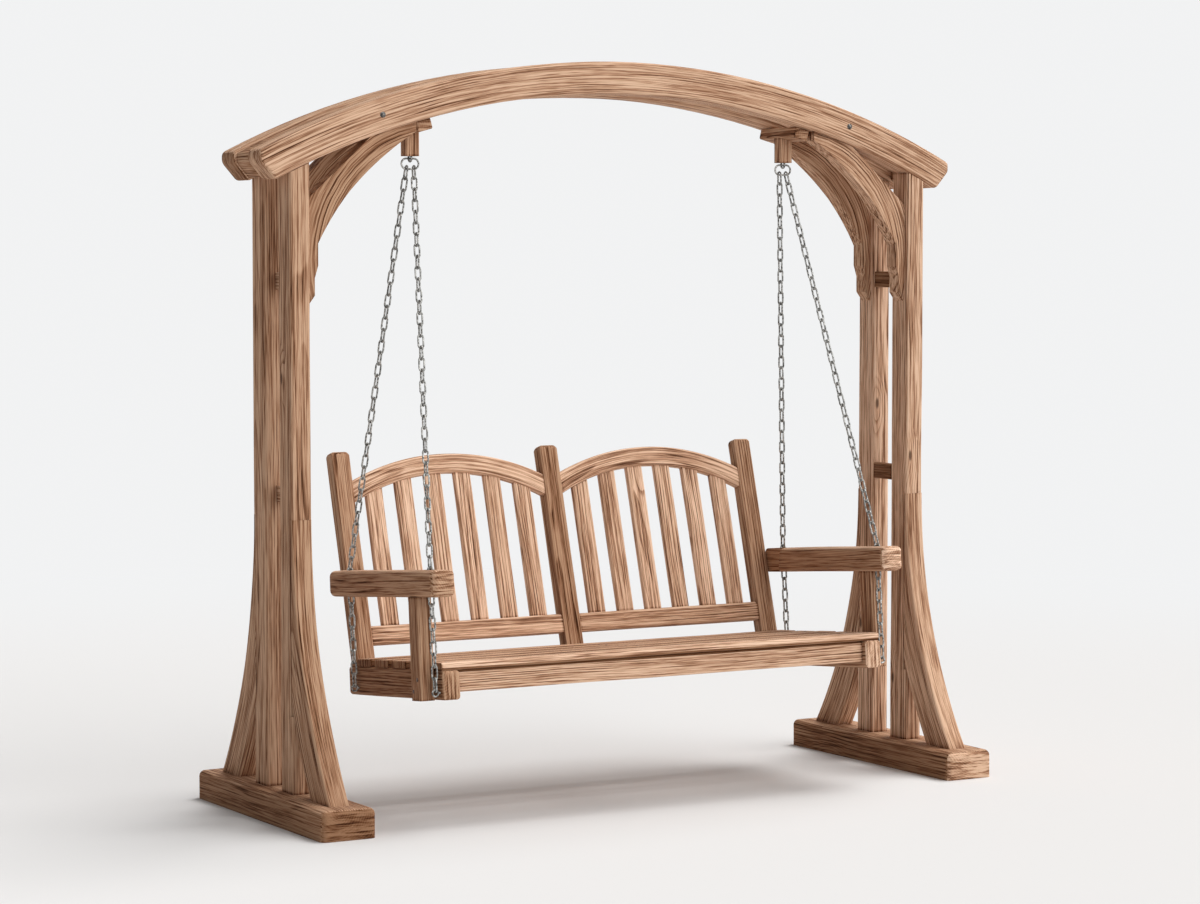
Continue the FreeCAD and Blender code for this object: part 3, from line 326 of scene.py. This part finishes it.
def dress_timber(name, body, along, across, soften, bend=None, end_share=0.0, tone=1.0, end_tone=1.0,
                 top_painted_light=1.0, shoulders=True, rounded=False, painted_shade_top=0.0, painted_shade_side=None):
    """Timber from its solids: worn edges, grain laid along each board, and tones for its faces, through which
    light and shade are also painted: lighter tops, lighter or darker ends, and darker bands and sides.
    A rounded board is straight and square, and is rounded on all sides by drawing its faces in to a radius.
    A shaded top band, as deep as given, is painted shade along the board's upper edge, and a shaded side is
    painted shade on the faces that look one way: the way, how nearly they do, and the tone left."""
    slice_length, sharp_angle = 0.06, math.radians(50)
    end_facing, top_facing, painted_shade_tone = 0.60, 0.7, 0.3
    rounding_steps = (0.423, 0.732, 1.0)
    grain = Grain(along, across, bend)
    piece = eased_piece(name, grain, soften, end_share, rounded)
    shaped = plain_mesh(piece)

    # slices across the grain, so that the faces can waver, and cuts where the painted shade ends or a
    # rounding begins
    form = bmesh.new()
    form.from_mesh(shaped)
    bmesh.ops.triangulate(form, faces=[face for face in form.faces if len(face.verts) > 4])
    reach = [grain.place(vertex.co)[0] for vertex in form.verts]
    start, length = min(reach), max(reach) - min(reach)
    slices = max(2, round(length / slice_length))
    for number in range(1, slices):
        at = start + length * number / slices
        cut_across(form, grain.centre if bend else along * at, grain.run(at))
    painted_shade_line = max(vertex.co.dot(across) for vertex in form.verts) - painted_shade_top
    if painted_shade_top:
        cut_across(form, across * painted_shade_line, across)
    for way in (along, across, grain.deep) if rounded else ():
        reach = [vertex.co.dot(way) for vertex in form.verts]
        low, high = min(reach), max(reach)
        for share in rounding_steps:
            for at in (low + share * soften, high - share * soften):
                cut_across(form, way * at, way)

    form.verts.index_update()
    places = [grain.place(vertex.co) for vertex in form.verts]
    carry = {title: [None] * len(places) for title in ("grain", "stock", "girth")}
    for solid in loose_solids(form):
        draw_board(solid, places, grain, soften, shoulders, rounded, carry)
    form.to_mesh(shaped)
    form.free()
    shaped.shade_smooth()
    shaped.set_sharp_from_angle(angle=sharp_angle)
    piece.data = shaped
    evened = piece.modifiers.new("evened", "WEIGHTED_NORMAL")
    evened.keep_sharp = True
    shaped = plain_mesh(piece)
    piece.data = shaped

    def tone_with_painted_light(face, is_end):
        # painted light: faces that look up are toned lighter by the top tone, and the end tones paint light
        # on some ends
        value = tone * (end_tone if is_end else top_painted_light if face.normal.z > top_facing else 1.0)
        # painted shade: a dark band along the top edge, under the slats that overhang it
        if painted_shade_top and face.center.dot(across) > painted_shade_line:
            value *= painted_shade_tone
        # painted shade on the faces that look the given way
        if painted_shade_side:
            way, least, share = painted_shade_side
            value *= share if face.normal.dot(way) > least else 1.0
        return value

    for title, values in carry.items():
        layer = shaped.attributes.new(title, "FLOAT_VECTOR", "POINT")
        layer.data.foreach_set("vector", [number for value in values for number in value])
    ends = [abs(face.normal.dot(grain.run(grain.place(face.center)[0]))) > end_facing
            for face in shaped.polygons]
    tones = [tone_with_painted_light(face, is_end) for face, is_end in zip(shaped.polygons, ends)]
    for title, values in (("end_grain", [float(is_end) for is_end in ends]), ("tone", tones)):
        layer = shaped.attributes.new(title, "FLOAT", "FACE")
        layer.data.foreach_set("value", values)
    shaped.materials.clear()
    shaped.materials.append(cedar)
    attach(piece, body)
    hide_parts(name)


for side, (tone, end_tone) in foot_tones_and_painted_light.items():
    dress_timber(f"{side}_foot", "stand", Y, X, foot_rounding, tone=tone, end_tone=end_tone,
                 top_painted_light=foot_top_painted_light, shoulders=False, rounded=True)

# Posts: four straight cedar posts in two pairs, planed square with eased edges. Stub tenons
# hold them in the feet and in the beams.
post_easing = 0.010
# Painted light: the right-hand posts are toned lighter than the left, as light falls off towards the left,
# and each back post lighter than its front one, on faces that the front posts shade.
post_tones_and_painted_light = {("left", "front"): 0.70, ("left", "back"): 0.78,
              ("right", "front"): 0.90, ("right", "back"): 1.10}
for (side, end), tone in post_tones_and_painted_light.items():
    dress_timber(f"{side}_{end}_post", "stand", Z, X, post_easing, tone=tone)

# Legs: curved cedar boards band-sawn from wide stock, housed in the posts and tenoned into the
# feet. The grain follows the sweep.
ENDS = {"front": -1, "back": 1}
leg_radius = 1.4545
leg_centre_out = 1.536
leg_centre_up = 0.870
leg_easing = 0.012
# Painted light: the right-hand legs are toned lighter than the left, as light falls off towards the left.
leg_tones_and_painted_light = {("left", "front"): 0.70, ("left", "back"): 0.70,
             ("right", "front"): 0.90, ("right", "back"): 0.84}
for (side, end), tone in leg_tones_and_painted_light.items():
    leg_centre = Vector((0, ENDS[end] * leg_centre_out, leg_centre_up))
    dress_timber(f"{side}_{end}_leg", "stand", Z, Y * -ENDS[end], leg_easing, bend=(leg_centre, leg_radius),
                 tone=tone, shoulders=False)

# Spacers: short, thin cedar boards nailed between the posts of each pair, an upper and a lower one, flush
# with the posts' inner faces. The right pair's are toned much darker than the posts, as painted shade in the
# gap between them.
spacer_easing = 0.003
spacer_tones_and_painted_shade = {"left": 0.74, "right": 0.36}
for side, tone in spacer_tones_and_painted_shade.items():
    for level in ("upper", "lower"):
        dress_timber(f"{side}_{level}_spacer", "stand", Y, Z, spacer_easing, tone=tone)

# Beams: two arched cedar beams that cap the front and the back posts, sawn to a long curve with
# bevelled ends. A block closes the gap between them at each end.
SIDES = {"left": -1, "right": 1}
beam_radius = 2.604
beam_centre = Vector((0, 0, -0.4559))
beam_easing = 0.0149
beam_tone = 0.83
beam_end_tones = {"front": 0.80, "back": 0.50}
block_easing = 0.004
block_tone = 0.60
for end, end_tone in beam_end_tones.items():
    dress_timber(f"{end}_beam", "stand", X, Z, beam_easing, bend=(beam_centre, beam_radius), end_share=0.8,
                 tone=beam_tone, end_tone=end_tone, shoulders=False)
for side in SIDES:
    dress_timber(f"{side}_beam_block", "stand", Y, X, block_easing, tone=block_tone)

# Knee braces: curved cedar brackets from the posts to the beams, sawn with a long stepped tail
# down the post and tenoned up into the beam.
brace_radius = 0.408
brace_centre_out = 0.612
brace_centre_up = 1.599
brace_easing = 0.006
# Painted light: the right-hand braces are toned lighter than the left, as light falls off towards the left.
brace_tones_and_painted_light = {"left": 0.64, "right": 0.76}
for side, tone in brace_tones_and_painted_light.items():
    outward = X * SIDES[side]
    brace_centre = outward * brace_centre_out + Z * brace_centre_up
    for end in ENDS:
        dress_timber(f"{side}_{end}_brace", "stand", (Z - outward).normalized(), (Z + outward).normalized(),
                     brace_easing, bend=(brace_centre, brace_radius), tone=tone, shoulders=False)

# Bolts: a domed head on a dark washer in the outer face of each beam, through the tenon of the
# brace. Zinc-plated steel gone dull.
bolt_place = 0.806
bolt_height = 2.021
beam_face = 0.1395
bolt_sizes = {"Width": 0.017, "Height": 0.0045}
bolt_grey = (0.20, 0.19, 0.18)
bolt_grime = (0.05, 0.045, 0.04)
dome_share = 0.34
washer_share = 0.6


def mottled_finish(name, clean, grimy, metallic):
    """A dull skin, clean and grimy by turns in spots of a few millimetres, and rougher where it is grimy."""
    finish = bpy.data.materials.new(name)
    finish.use_nodes = True
    tree = finish.node_tree
    shader = tree.nodes["Principled BSDF"]
    at = tree.nodes.new("ShaderNodeTexCoord")
    mottle = tree.nodes.new("ShaderNodeTexNoise")
    mottle.inputs["Scale"].default_value = 150.0
    mottle.inputs["Detail"].default_value = 3.0
    tree.links.new(at.outputs["Object"], mottle.inputs["Vector"])
    ramp = tree.nodes.new("ShaderNodeValToRGB")
    ramp.color_ramp.elements[0].position = 0.38
    ramp.color_ramp.elements[0].color = (*grimy, 1)
    ramp.color_ramp.elements[1].position = 0.62
    ramp.color_ramp.elements[1].color = (*clean, 1)
    tree.links.new(mottle.outputs[0], ramp.inputs[0])
    tree.links.new(ramp.outputs[0], shader.inputs["Base Color"])
    sheen = tree.nodes.new("ShaderNodeMapRange")
    sheen.inputs["To Min"].default_value = 0.52
    sheen.inputs["To Max"].default_value = 0.30
    tree.links.new(mottle.outputs[0], sheen.inputs[0])
    tree.links.new(sheen.outputs[0], shader.inputs["Roughness"])
    shader.inputs["Metallic"].default_value = metallic
    return finish


zinc_metallic = 0.45
dull_steel = mottled_finish("dull_steel", bolt_grey, bolt_grime, zinc_metallic)


class PointTree:
    """Node tree that sets one form on every point, turned by the point's own turn."""

    def __init__(self, title, *labels):
        self.tree = bpy.data.node_groups.new(title, "GeometryNodeTree")
        sockets = self.tree.interface
        sockets.new_socket("Geometry", in_out="INPUT", socket_type="NodeSocketGeometry")
        for label in labels:
            sockets.new_socket(label, in_out="INPUT", socket_type="NodeSocketFloat")
        sockets.new_socket("Finish", in_out="INPUT", socket_type="NodeSocketMaterial")
        sockets.new_socket("Geometry", in_out="OUTPUT", socket_type="NodeSocketGeometry")
        self.keys = {item.name: item.identifier for item in sockets.items_tree if item.in_out == "INPUT"}
        self.given = self.add("NodeGroupInput").outputs

    def fill(self, socket, value):
        if isinstance(value, bpy.types.NodeSocket):
            self.tree.links.new(value, socket)
        else:
            socket.default_value = value

    def add(self, kind, *settings, **inputs):
        made = self.tree.nodes.new(kind)
        for key, value in settings:
            setattr(made, key, value)
        for key, value in inputs.items():
            self.fill(made.inputs[key.replace("_", " ")], value)
        return made

    def calc(self, operation, first, second):
        made = self.add("ShaderNodeMath", ("operation", operation))
        self.fill(made.inputs[0], first)
        self.fill(made.inputs[1], second)
        return made.outputs[0]

    def join(self, *forms):
        together = self.add("GeometryNodeJoinGeometry")
        for form in forms:
            self.tree.links.new(form.outputs[0], together.inputs[0])
        return together

    def close(self, form):
        smooth = self.add("GeometryNodeSetShadeSmooth", Geometry=form.outputs[0])
        turn = self.add("GeometryNodeInputNamedAttribute", ("data_type", "QUATERNION"), Name="turn")
        placed = self.add("GeometryNodeInstanceOnPoints", Points=self.given["Geometry"],
                          Instance=smooth.outputs[0], Rotation=turn.outputs[0])
        solid = self.add("GeometryNodeRealizeInstances", Geometry=placed.outputs[0])
        finished = self.add("GeometryNodeSetMaterial", Geometry=solid.outputs[0],
                            Material=self.given["Finish"])
        self.tree.links.new(finished.outputs[0], self.add("NodeGroupOutput").inputs[0])

    def set_out(self, name, spots, body, sizes, finish, slot, *stands_for):
        """One plain mesh of the forms at spots, each a place and the ways of the form's own X, Y and Z."""
        mesh = bpy.data.meshes.new(name)
        mesh.from_pydata([tuple(place) for place, *_ in spots], [], [])
        turns = [Matrix(ways).transposed().to_quaternion() for _, *ways in spots]
        layer = mesh.attributes.new("turn", "QUATERNION", "POINT")
        layer.data.foreach_set("value", [number for turn in turns for number in turn])
        piece = bpy.data.objects.new(name, mesh)
        bpy.context.scene.collection.objects.link(piece)
        forms = piece.modifiers.new("forms", "NODES")
        forms.node_group = self.tree
        for label, value in sizes.items():
            forms[self.keys[label]] = value
        forms[self.keys["Finish"]] = finish
        piece.data = plain_mesh(piece)
        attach(piece, body)
        if stands_for:
            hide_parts(*stands_for)


domed_heads = PointTree("domed_heads", "Width", "Height")
head_width, head_height = domed_heads.given["Width"], domed_heads.given["Height"]
dome_radius = domed_heads.calc("MULTIPLY", head_width, dome_share)
washer = domed_heads.add("GeometryNodeMeshCylinder", Vertices=16,
                         Radius=domed_heads.calc("DIVIDE", head_width, 2.0),
                         Depth=domed_heads.calc("MULTIPLY", head_height, washer_share))
dome = domed_heads.add("GeometryNodeMeshUVSphere", Segments=12, Rings=6, Radius=dome_radius)
squash = domed_heads.add("ShaderNodeCombineXYZ", X=1.0, Y=1.0,
                         Z=domed_heads.calc("DIVIDE", head_height, dome_radius))
pressed = domed_heads.add("GeometryNodeTransform", Geometry=dome.outputs[0], Scale=squash.outputs[0])
domed_heads.close(domed_heads.join(pressed, washer))
bolt_spots = [(Vector((side * bolt_place, end * beam_face, bolt_height)), Z.cross(Y * end), Z, Y * end)
              for side in SIDES.values() for end in ENDS.values()]
domed_heads.set_out("beam_bolts", bolt_spots, "stand", bolt_sizes, dull_steel, "galvanised_steel")

# Hangers: a cross rail of cedar seated under both beams on each side, and a short block tenoned
# into it that takes the eye bolt.
hanger_rail_easing = 0.006
hanger_rail_tone = 0.66
hanger_block_easing = 0.005
hanger_block_tone = 0.72
for side in SIDES:
    dress_timber(f"{side}_hanger_rail", "stand", Y, X, hanger_rail_easing, end_share=1.0,
                 tone=hanger_rail_tone)
    dress_timber(f"{side}_hanger_block", "stand", Z, X, hanger_block_easing, tone=hanger_block_tone)

# Seat frame: side rails, front and back rails and a bearer of cedar, tenoned together and tilted
# back a little so that the sitter leans into the seat.
seat_tilt = math.radians(4.9)
seat_back = Vector((0, math.cos(seat_tilt), -math.sin(seat_tilt)))
seat_up = Vector((0, math.sin(seat_tilt), math.cos(seat_tilt)))
seat_corner = Vector((0, -0.3845, 0.363))
side_rail_rounding = 0.010
side_rail_tone = 0.58
# Painted light: the rails' front ends are toned lighter than their sides, the right one most, as lit from the
# front right.
side_rail_end_tones_and_painted_light = {"left": 1.15, "right": 1.60}
cross_rail_easing = 0.006
# painted shade along the tops of the front and back rails, under the slats
cross_rail_painted_shade = 0.008
bearer_easing = 0.003
bearer_tone = 0.8
for side, end_tone in side_rail_end_tones_and_painted_light.items():
    dress_timber(f"{side}_side_rail", "swing", seat_back, seat_up, side_rail_rounding, tone=side_rail_tone,
                 end_tone=end_tone, shoulders=False, rounded=True)
for name in ("front_rail", "back_rail"):
    dress_timber(name, "swing", X, seat_up, cross_rail_easing, painted_shade_top=cross_rail_painted_shade)
dress_timber("centre_bearer", "swing", seat_back, seat_up, bearer_easing, tone=bearer_tone)

# Seat slats: five cedar boards with rounded top edges, screwed down across the seat frame. Painted shade
# darkens the underside of the front one and the forward faces of the others, in the gaps between them.
slat_easing = 0.007
slat_end_share = 0.6
front_slat_tone, front_slat_end_tone = 1.03, 0.42
slat_tone, slat_end_tone = 0.86, 0.50
nose_painted_shade = (-seat_up, 0.1, 0.40)
gap_painted_shade = (-seat_back, 0.25, 0.35)
dress_timber("front_seat_slat", "swing", X, seat_up, slat_easing, end_share=slat_end_share,
             tone=front_slat_tone, end_tone=front_slat_end_tone, painted_shade_side=nose_painted_shade)
for name in ("seat_slat_2", "seat_slat_3", "seat_slat_4", "seat_slat_5"):
    dress_timber(name, "swing", X, seat_up, slat_easing, end_share=slat_end_share, tone=slat_tone,
                 end_tone=slat_end_tone, painted_shade_side=gap_painted_shade)

# Seat screws: two in each slat over each side rail and over the bearer, driven just flush. Their
# domed heads are steel gone dull, like the bolts.
screw_sizes = {"Width": 0.009, "Height": 0.0012}
slat_starts = (-0.014, 0.10025, 0.2145, 0.32875, 0.443)
slat_top = 0.1065
screw_columns = (-0.725, 0.0, 0.725)
screw_rows = (0.024, 0.068)
screw_spots = [(seat_corner + X * column + seat_back * (start + row) + seat_up * slat_top,
                X, seat_back, seat_up)
               for start in slat_starts for column in screw_columns for row in screw_rows]
domed_heads.set_out("seat_screws", screw_spots, "swing", screw_sizes, dull_steel, "galvanised_steel")

# Back uprights: three leaning cedar posts with chamfered tops, one at each end of the back and
# one in the middle. Tenons hold them in the seat frame.
back_tilt = math.radians(15.9)
back_up = Vector((0, math.sin(back_tilt), math.cos(back_tilt)))
upright_easing = 0.0125
upright_tone = 0.65
for name in ("left_upright", "centre_upright", "right_upright"):
    dress_timber(name, "swing", back_up, X, upright_easing, end_share=0.8, tone=upright_tone)

# Back panels: an arched top rail and a straight lower rail in each half, tenoned into the
# uprights, with six flat slats between them. All cedar.
back_foot = seat_corner + seat_back * 0.540 + seat_up * 0.084
panel_middle = 0.359
top_rail_radius = 0.720
top_rail_centre_up = -0.1091
back_rail_easing = 0.009
top_rail_tone = 0.98
back_slat_easing = 0.006
back_slat_tone = 1.06
for side, way in SIDES.items():
    top_rail_centre = back_foot + X * (way * panel_middle) + back_up * top_rail_centre_up
    dress_timber(f"{side}_top_rail", "swing", X, back_up, back_rail_easing,
                 bend=(top_rail_centre, top_rail_radius), tone=top_rail_tone)
    dress_timber(f"{side}_lower_rail", "swing", X, back_up, back_rail_easing)
    dress_timber(f"{side}_back_slats", "swing", back_up, X, back_slat_easing, tone=back_slat_tone)

# Arms: thick cedar rests with rounded fronts, bored for the chains and notched round the outer
# uprights. A short post under the front of each one stands against the seat's side rail.
arm_rounding = 0.018
arm_tone = 0.62
# Painted light: the arms' tops are toned lighter, as lit from above, and their front ends lighter than the
# sides, the right one most, as lit from the front right.
arm_top_painted_light = 1.45
arm_end_tones_and_painted_light = {"left": 1.10, "right": 1.80}
arm_post_easing = 0.010
arm_post_tone = 0.66
for side, end_tone in arm_end_tones_and_painted_light.items():
    dress_timber(f"{side}_arm", "swing", seat_back, X, arm_rounding, tone=arm_tone, end_tone=end_tone,
                 top_painted_light=arm_top_painted_light, shoulders=False, rounded=True)
    dress_timber(f"{side}_arm_post", "swing", seat_up, X, arm_post_easing, tone=arm_post_tone)

# Plugs: two dark hardwood dowels in the foot of each arm post, which cover the screws into the
# side rail.
plug_sizes = {"Width": 0.012, "Height": 0.0015}
plug_face = 0.8015
plug_places = ((0.043, 0.060), (0.069, 0.026))
plug_brown = (0.17, 0.085, 0.05)
plug_grime = (0.06, 0.03, 0.018)
plug_wood = mottled_finish("plug_wood", plug_brown, plug_grime, metallic=0.0)
plug_spots = [(seat_corner + X * (way * plug_face) + seat_back * along + seat_up * up,
               seat_up.cross(X * way), seat_up, X * way)
              for way in SIDES.values() for along, up in plug_places]
domed_heads.set_out("post_plugs", plug_spots, "swing", plug_sizes, plug_wood, "cedar")

# Eyes: an eye bolt in each hanger block for the ring, and an eye screw in the side rail at the
# foot of each chain. Bent wire, galvanised dull grey.
hanger_eye_sizes = {"Width": 0.026, "Wire": 0.0065, "Reach": 0.020}
hanger_eye_out = 0.650
hanger_eye_height = 1.90367
chain_eye_sizes = {"Width": 0.024, "Wire": 0.0055, "Reach": 0.012}
chain_eye_out = 0.768
chain_eye_up = 0.022
chain_eye_places = (0.0, 0.525)
zinc_grey = (0.52, 0.52, 0.50)
zinc_grime = (0.085, 0.085, 0.080)
galvanised = mottled_finish("galvanised_wire", zinc_grey, zinc_grime, zinc_metallic)
wire_eyes = PointTree("wire_eyes", "Width", "Wire", "Reach")
half_wire = wire_eyes.calc("DIVIDE", wire_eyes.given["Wire"], 2.0)
eye_radius = wire_eyes.calc("SUBTRACT", wire_eyes.calc("DIVIDE", wire_eyes.given["Width"], 2.0), half_wire)
eye_path = wire_eyes.add("GeometryNodeCurvePrimitiveCircle", Resolution=20, Radius=eye_radius)
eye_wire = wire_eyes.add("GeometryNodeCurvePrimitiveCircle", Resolution=8, Radius=half_wire)
eye = wire_eyes.add("GeometryNodeCurveToMesh", Curve=eye_path.outputs[0], Profile_Curve=eye_wire.outputs[0])
shank = wire_eyes.add("GeometryNodeMeshCylinder", Vertices=10, Depth=wire_eyes.given["Reach"],
                      Radius=wire_eyes.calc("MULTIPLY", half_wire, 1.1))
shank_middle = wire_eyes.calc("ADD", eye_radius, wire_eyes.calc("DIVIDE", wire_eyes.given["Reach"], 2.0))
stood = wire_eyes.add("GeometryNodeTransform", Geometry=shank.outputs[0], Rotation=(math.pi / 2, 0, 0),
                      Translation=wire_eyes.add("ShaderNodeCombineXYZ", Y=shank_middle).outputs[0])
wire_eyes.close(wire_eyes.join(stood, eye))
hanger_eye_spots = [(Vector((way * hanger_eye_out, 0, hanger_eye_height)), Y, Z, X) for way in SIDES.values()]
wire_eyes.set_out("hanger_eye_bolts", hanger_eye_spots, "stand", hanger_eye_sizes, galvanised,
                  "galvanised_steel", "hanger_eyes")
chain_eye_spots = [(seat_corner + X * (way * chain_eye_out) + seat_back * along + seat_up * chain_eye_up,
                    seat_up * -way, X * -way, seat_back)
                   for way in SIDES.values() for along in chain_eye_places]
wire_eyes.set_out("chain_eye_screws", chain_eye_spots, "swing", chain_eye_sizes, galvanised,
                  "galvanised_steel", "chain_eyes")

# Rings: one of round wire hangs in the eye bolt of each hanger and carries two chains. Bent to a
# soft rectangle, welded, and galvanised like the eyes.
ring_sizes = {"Length": 0.036, "Width": 0.062, "Wire": 0.0058, "Corner": 0.0150, "Corner Steps": 6.0}
wire_loops = PointTree("wire_loops", "Length", "Width", "Wire", "Corner", "Corner Steps")
loop_wire = wire_loops.given["Wire"]
loop_path = wire_loops.add("GeometryNodeCurvePrimitiveQuadrilateral",
                           Width=wire_loops.calc("SUBTRACT", wire_loops.given["Width"], loop_wire),
                           Height=wire_loops.calc("SUBTRACT", wire_loops.given["Length"], loop_wire))
bent_path = wire_loops.add("GeometryNodeFilletCurve", ("mode", "POLY"), Curve=loop_path.outputs[0],
                           Radius=wire_loops.given["Corner"], Count=wire_loops.given["Corner Steps"])
round_wire = wire_loops.add("GeometryNodeCurvePrimitiveCircle", Resolution=7,
                            Radius=wire_loops.calc("DIVIDE", loop_wire, 2.0))
wire_loops.close(wire_loops.add("GeometryNodeCurveToMesh", Curve=bent_path.outputs[0],
                                Profile_Curve=round_wire.outputs[0]))


def solids_of(name):
    """Corner points of each separate solid of a group, from the top down."""
    form = bmesh.new()
    form.from_mesh(nodes[name].data)
    bmesh.ops.remove_doubles(form, verts=form.verts, dist=1e-6)
    solids = [[vertex.co.copy() for vertex in solid] for solid in loose_solids(form)]
    form.free()
    return sorted(solids, key=lambda solid: -max(point.z for point in solid))


ring_boxes = [corner_box(corners) for corners in solids_of("hanger_rings")]
ring_spots = [((low + high) / 2, X, Z, -Y) for low, high in ring_boxes]
wire_loops.set_out("hanger_ring_wire", ring_spots, "swing", ring_sizes, galvanised,
                   "galvanised_steel", "hanger_rings")

# Chains: four runs of welded links, each link a quarter turn from the last, from the rings down
# through the arms to the eye screws. Round wire, galvanised like the rings.
link_sizes = {"Width": 0.022, "Wire": 0.0057, "Corner": 0.0076, "Corner Steps": 2.0}
plain_link_wire = 0.005
link_growth = 2 * (link_sizes["Wire"] - plain_link_wire)


def link_spot(corners):
    """Middle, ways and length of a link, from the corners of its solid. By distance from one outer corner,
    the others lie through the wire, across the link, on that face's diagonal, and then along the link."""
    middle = sum(corners, Vector()) / len(corners)
    arms = [point - middle for point in corners]
    far = max(arms, key=lambda arm: arm.length)
    outer = [arm for arm in arms if abs(arm.length - far.length) < 1e-5]
    steps = sorted((arm - far for arm in outer), key=lambda step: step.length)
    across, along = steps[2].normalized(), steps[4].normalized()
    return middle, across, along, across.cross(along), steps[4].length


for side in SIDES:
    for end in ENDS:
        links = [link_spot(corners) for corners in solids_of(f"{side}_{end}_chain")]
        link_length = max(length for *_, length in links) + link_growth
        wire_loops.set_out(f"{side}_{end}_chain_links", [link[:4] for link in links], "swing",
                           {**link_sizes, "Length": link_length}, galvanised, "galvanised_steel",
                           f"{side}_{end}_chain")

# Stage: a pale paper floor that fades into the backdrop, so that no horizon shows. Soft light
# comes from above and from the front right, and an even sky fills the shadows.
backdrop = (0.885, 0.890, 0.895, 1)
paper_grey = (0.80, 0.80, 0.805, 1)
floor_reach = 60.0
fade_start, fade_end = 2.6, 7.0
floor_mesh = bpy.data.meshes.new("studio_floor")
floor_mesh.from_pydata([(-floor_reach, -floor_reach, 0), (floor_reach, -floor_reach, 0),
                        (floor_reach, floor_reach, 0), (-floor_reach, floor_reach, 0)], [], [(0, 1, 2, 3)])
floor = bpy.data.objects.new("studio_floor", floor_mesh)
bpy.context.scene.collection.objects.link(floor)
paper = bpy.data.materials.new("studio_paper")
paper.use_nodes = True
paper_tree = paper.node_tree
paper_shader = paper_tree.nodes["Principled BSDF"]
paper_shader.inputs["Base Color"].default_value = paper_grey
paper_shader.inputs["Roughness"].default_value = 0.95
paper_shader.inputs["Specular IOR Level"].default_value = 0.0
far_glow = paper_tree.nodes.new("ShaderNodeEmission")
far_glow.inputs["Color"].default_value = backdrop
floor_place = paper_tree.nodes.new("ShaderNodeTexCoord")
away = paper_tree.nodes.new("ShaderNodeVectorMath")
away.operation = "LENGTH"
paper_tree.links.new(floor_place.outputs["Object"], away.inputs[0])
fade = paper_tree.nodes.new("ShaderNodeMapRange")
fade.interpolation_type = "SMOOTHSTEP"
fade.inputs["From Min"].default_value = fade_start
fade.inputs["From Max"].default_value = fade_end
paper_tree.links.new(away.outputs["Value"], fade.inputs[0])
blend = paper_tree.nodes.new("ShaderNodeMixShader")
paper_tree.links.new(fade.outputs[0], blend.inputs[0])
paper_tree.links.new(paper_shader.outputs[0], blend.inputs[1])
paper_tree.links.new(far_glow.outputs[0], blend.inputs[2])
paper_tree.links.new(blend.outputs[0], paper_tree.nodes["Material Output"].inputs["Surface"])
floor_mesh.materials.append(paper)

scene = bpy.context.scene
world = bpy.data.worlds.new("studio_sky")
scene.world = world
world.use_nodes = True
sky = world.node_tree
lamp_sky = sky.nodes["Background"]
lamp_sky.inputs["Color"].default_value = (1.0, 0.99, 0.98, 1)
lamp_sky.inputs["Strength"].default_value = 0.25
seen_sky = sky.nodes.new("ShaderNodeBackground")
seen_sky.inputs["Color"].default_value = backdrop
ray = sky.nodes.new("ShaderNodeLightPath")
shown = ray.outputs["Is Camera Ray"]
for kind in ("Is Glossy Ray", "Is Transmission Ray"):
    either = sky.nodes.new("ShaderNodeMath")
    either.operation = "MAXIMUM"
    sky.links.new(shown, either.inputs[0])
    sky.links.new(ray.outputs[kind], either.inputs[1])
    shown = either.outputs[0]
choose = sky.nodes.new("ShaderNodeMixShader")
sky.links.new(shown, choose.inputs[0])
sky.links.new(lamp_sky.outputs[0], choose.inputs[1])
sky.links.new(seen_sky.outputs[0], choose.inputs[2])
sky.links.new(choose.outputs[0], sky.nodes["World Output"].inputs["Surface"])

lamp_white = (1.0, 0.985, 0.965)
lamp_distance = 5
for name, strength, softness, source in (("overhead_light", 2.00, 0.55, (0.44, 0.06, 1.0)),
                                         ("front_light", 2.05, 1.20, (0.60, -1.0, 0.50))):
    lamp = bpy.data.objects.new(name, bpy.data.lights.new(name, "SUN"))
    lamp.data.energy = strength
    lamp.data.angle = softness
    lamp.data.color = lamp_white
    lamp.location = Vector(source) * lamp_distance
    lamp.rotation_euler = (-Vector(source)).to_track_quat("-Z", "Y").to_euler()
    scene.collection.objects.link(lamp)

# Camera: where the photograph was taken from, nearly ten metres off to the front left and a little
# under eye height, with a long lens. Its focal length is given in the photograph's pixels.
camera_dip = 0.059
camera_turn = 0.525
focal_pixels = 3217
photo_width = 1200
film_width = 36
camera = bpy.data.objects.new("camera", bpy.data.cameras.new("camera"))
scene.collection.objects.link(camera)
camera.location = (-4.8935, -8.4330, 1.6013)
camera.rotation_euler = (math.pi / 2 - camera_dip, 0, -camera_turn)
camera.data.sensor_width = film_width
camera.data.lens = focal_pixels / photo_width * film_width
camera.data.clip_end = 200
scene.camera = camera
scene.view_settings.view_transform = "Standard"
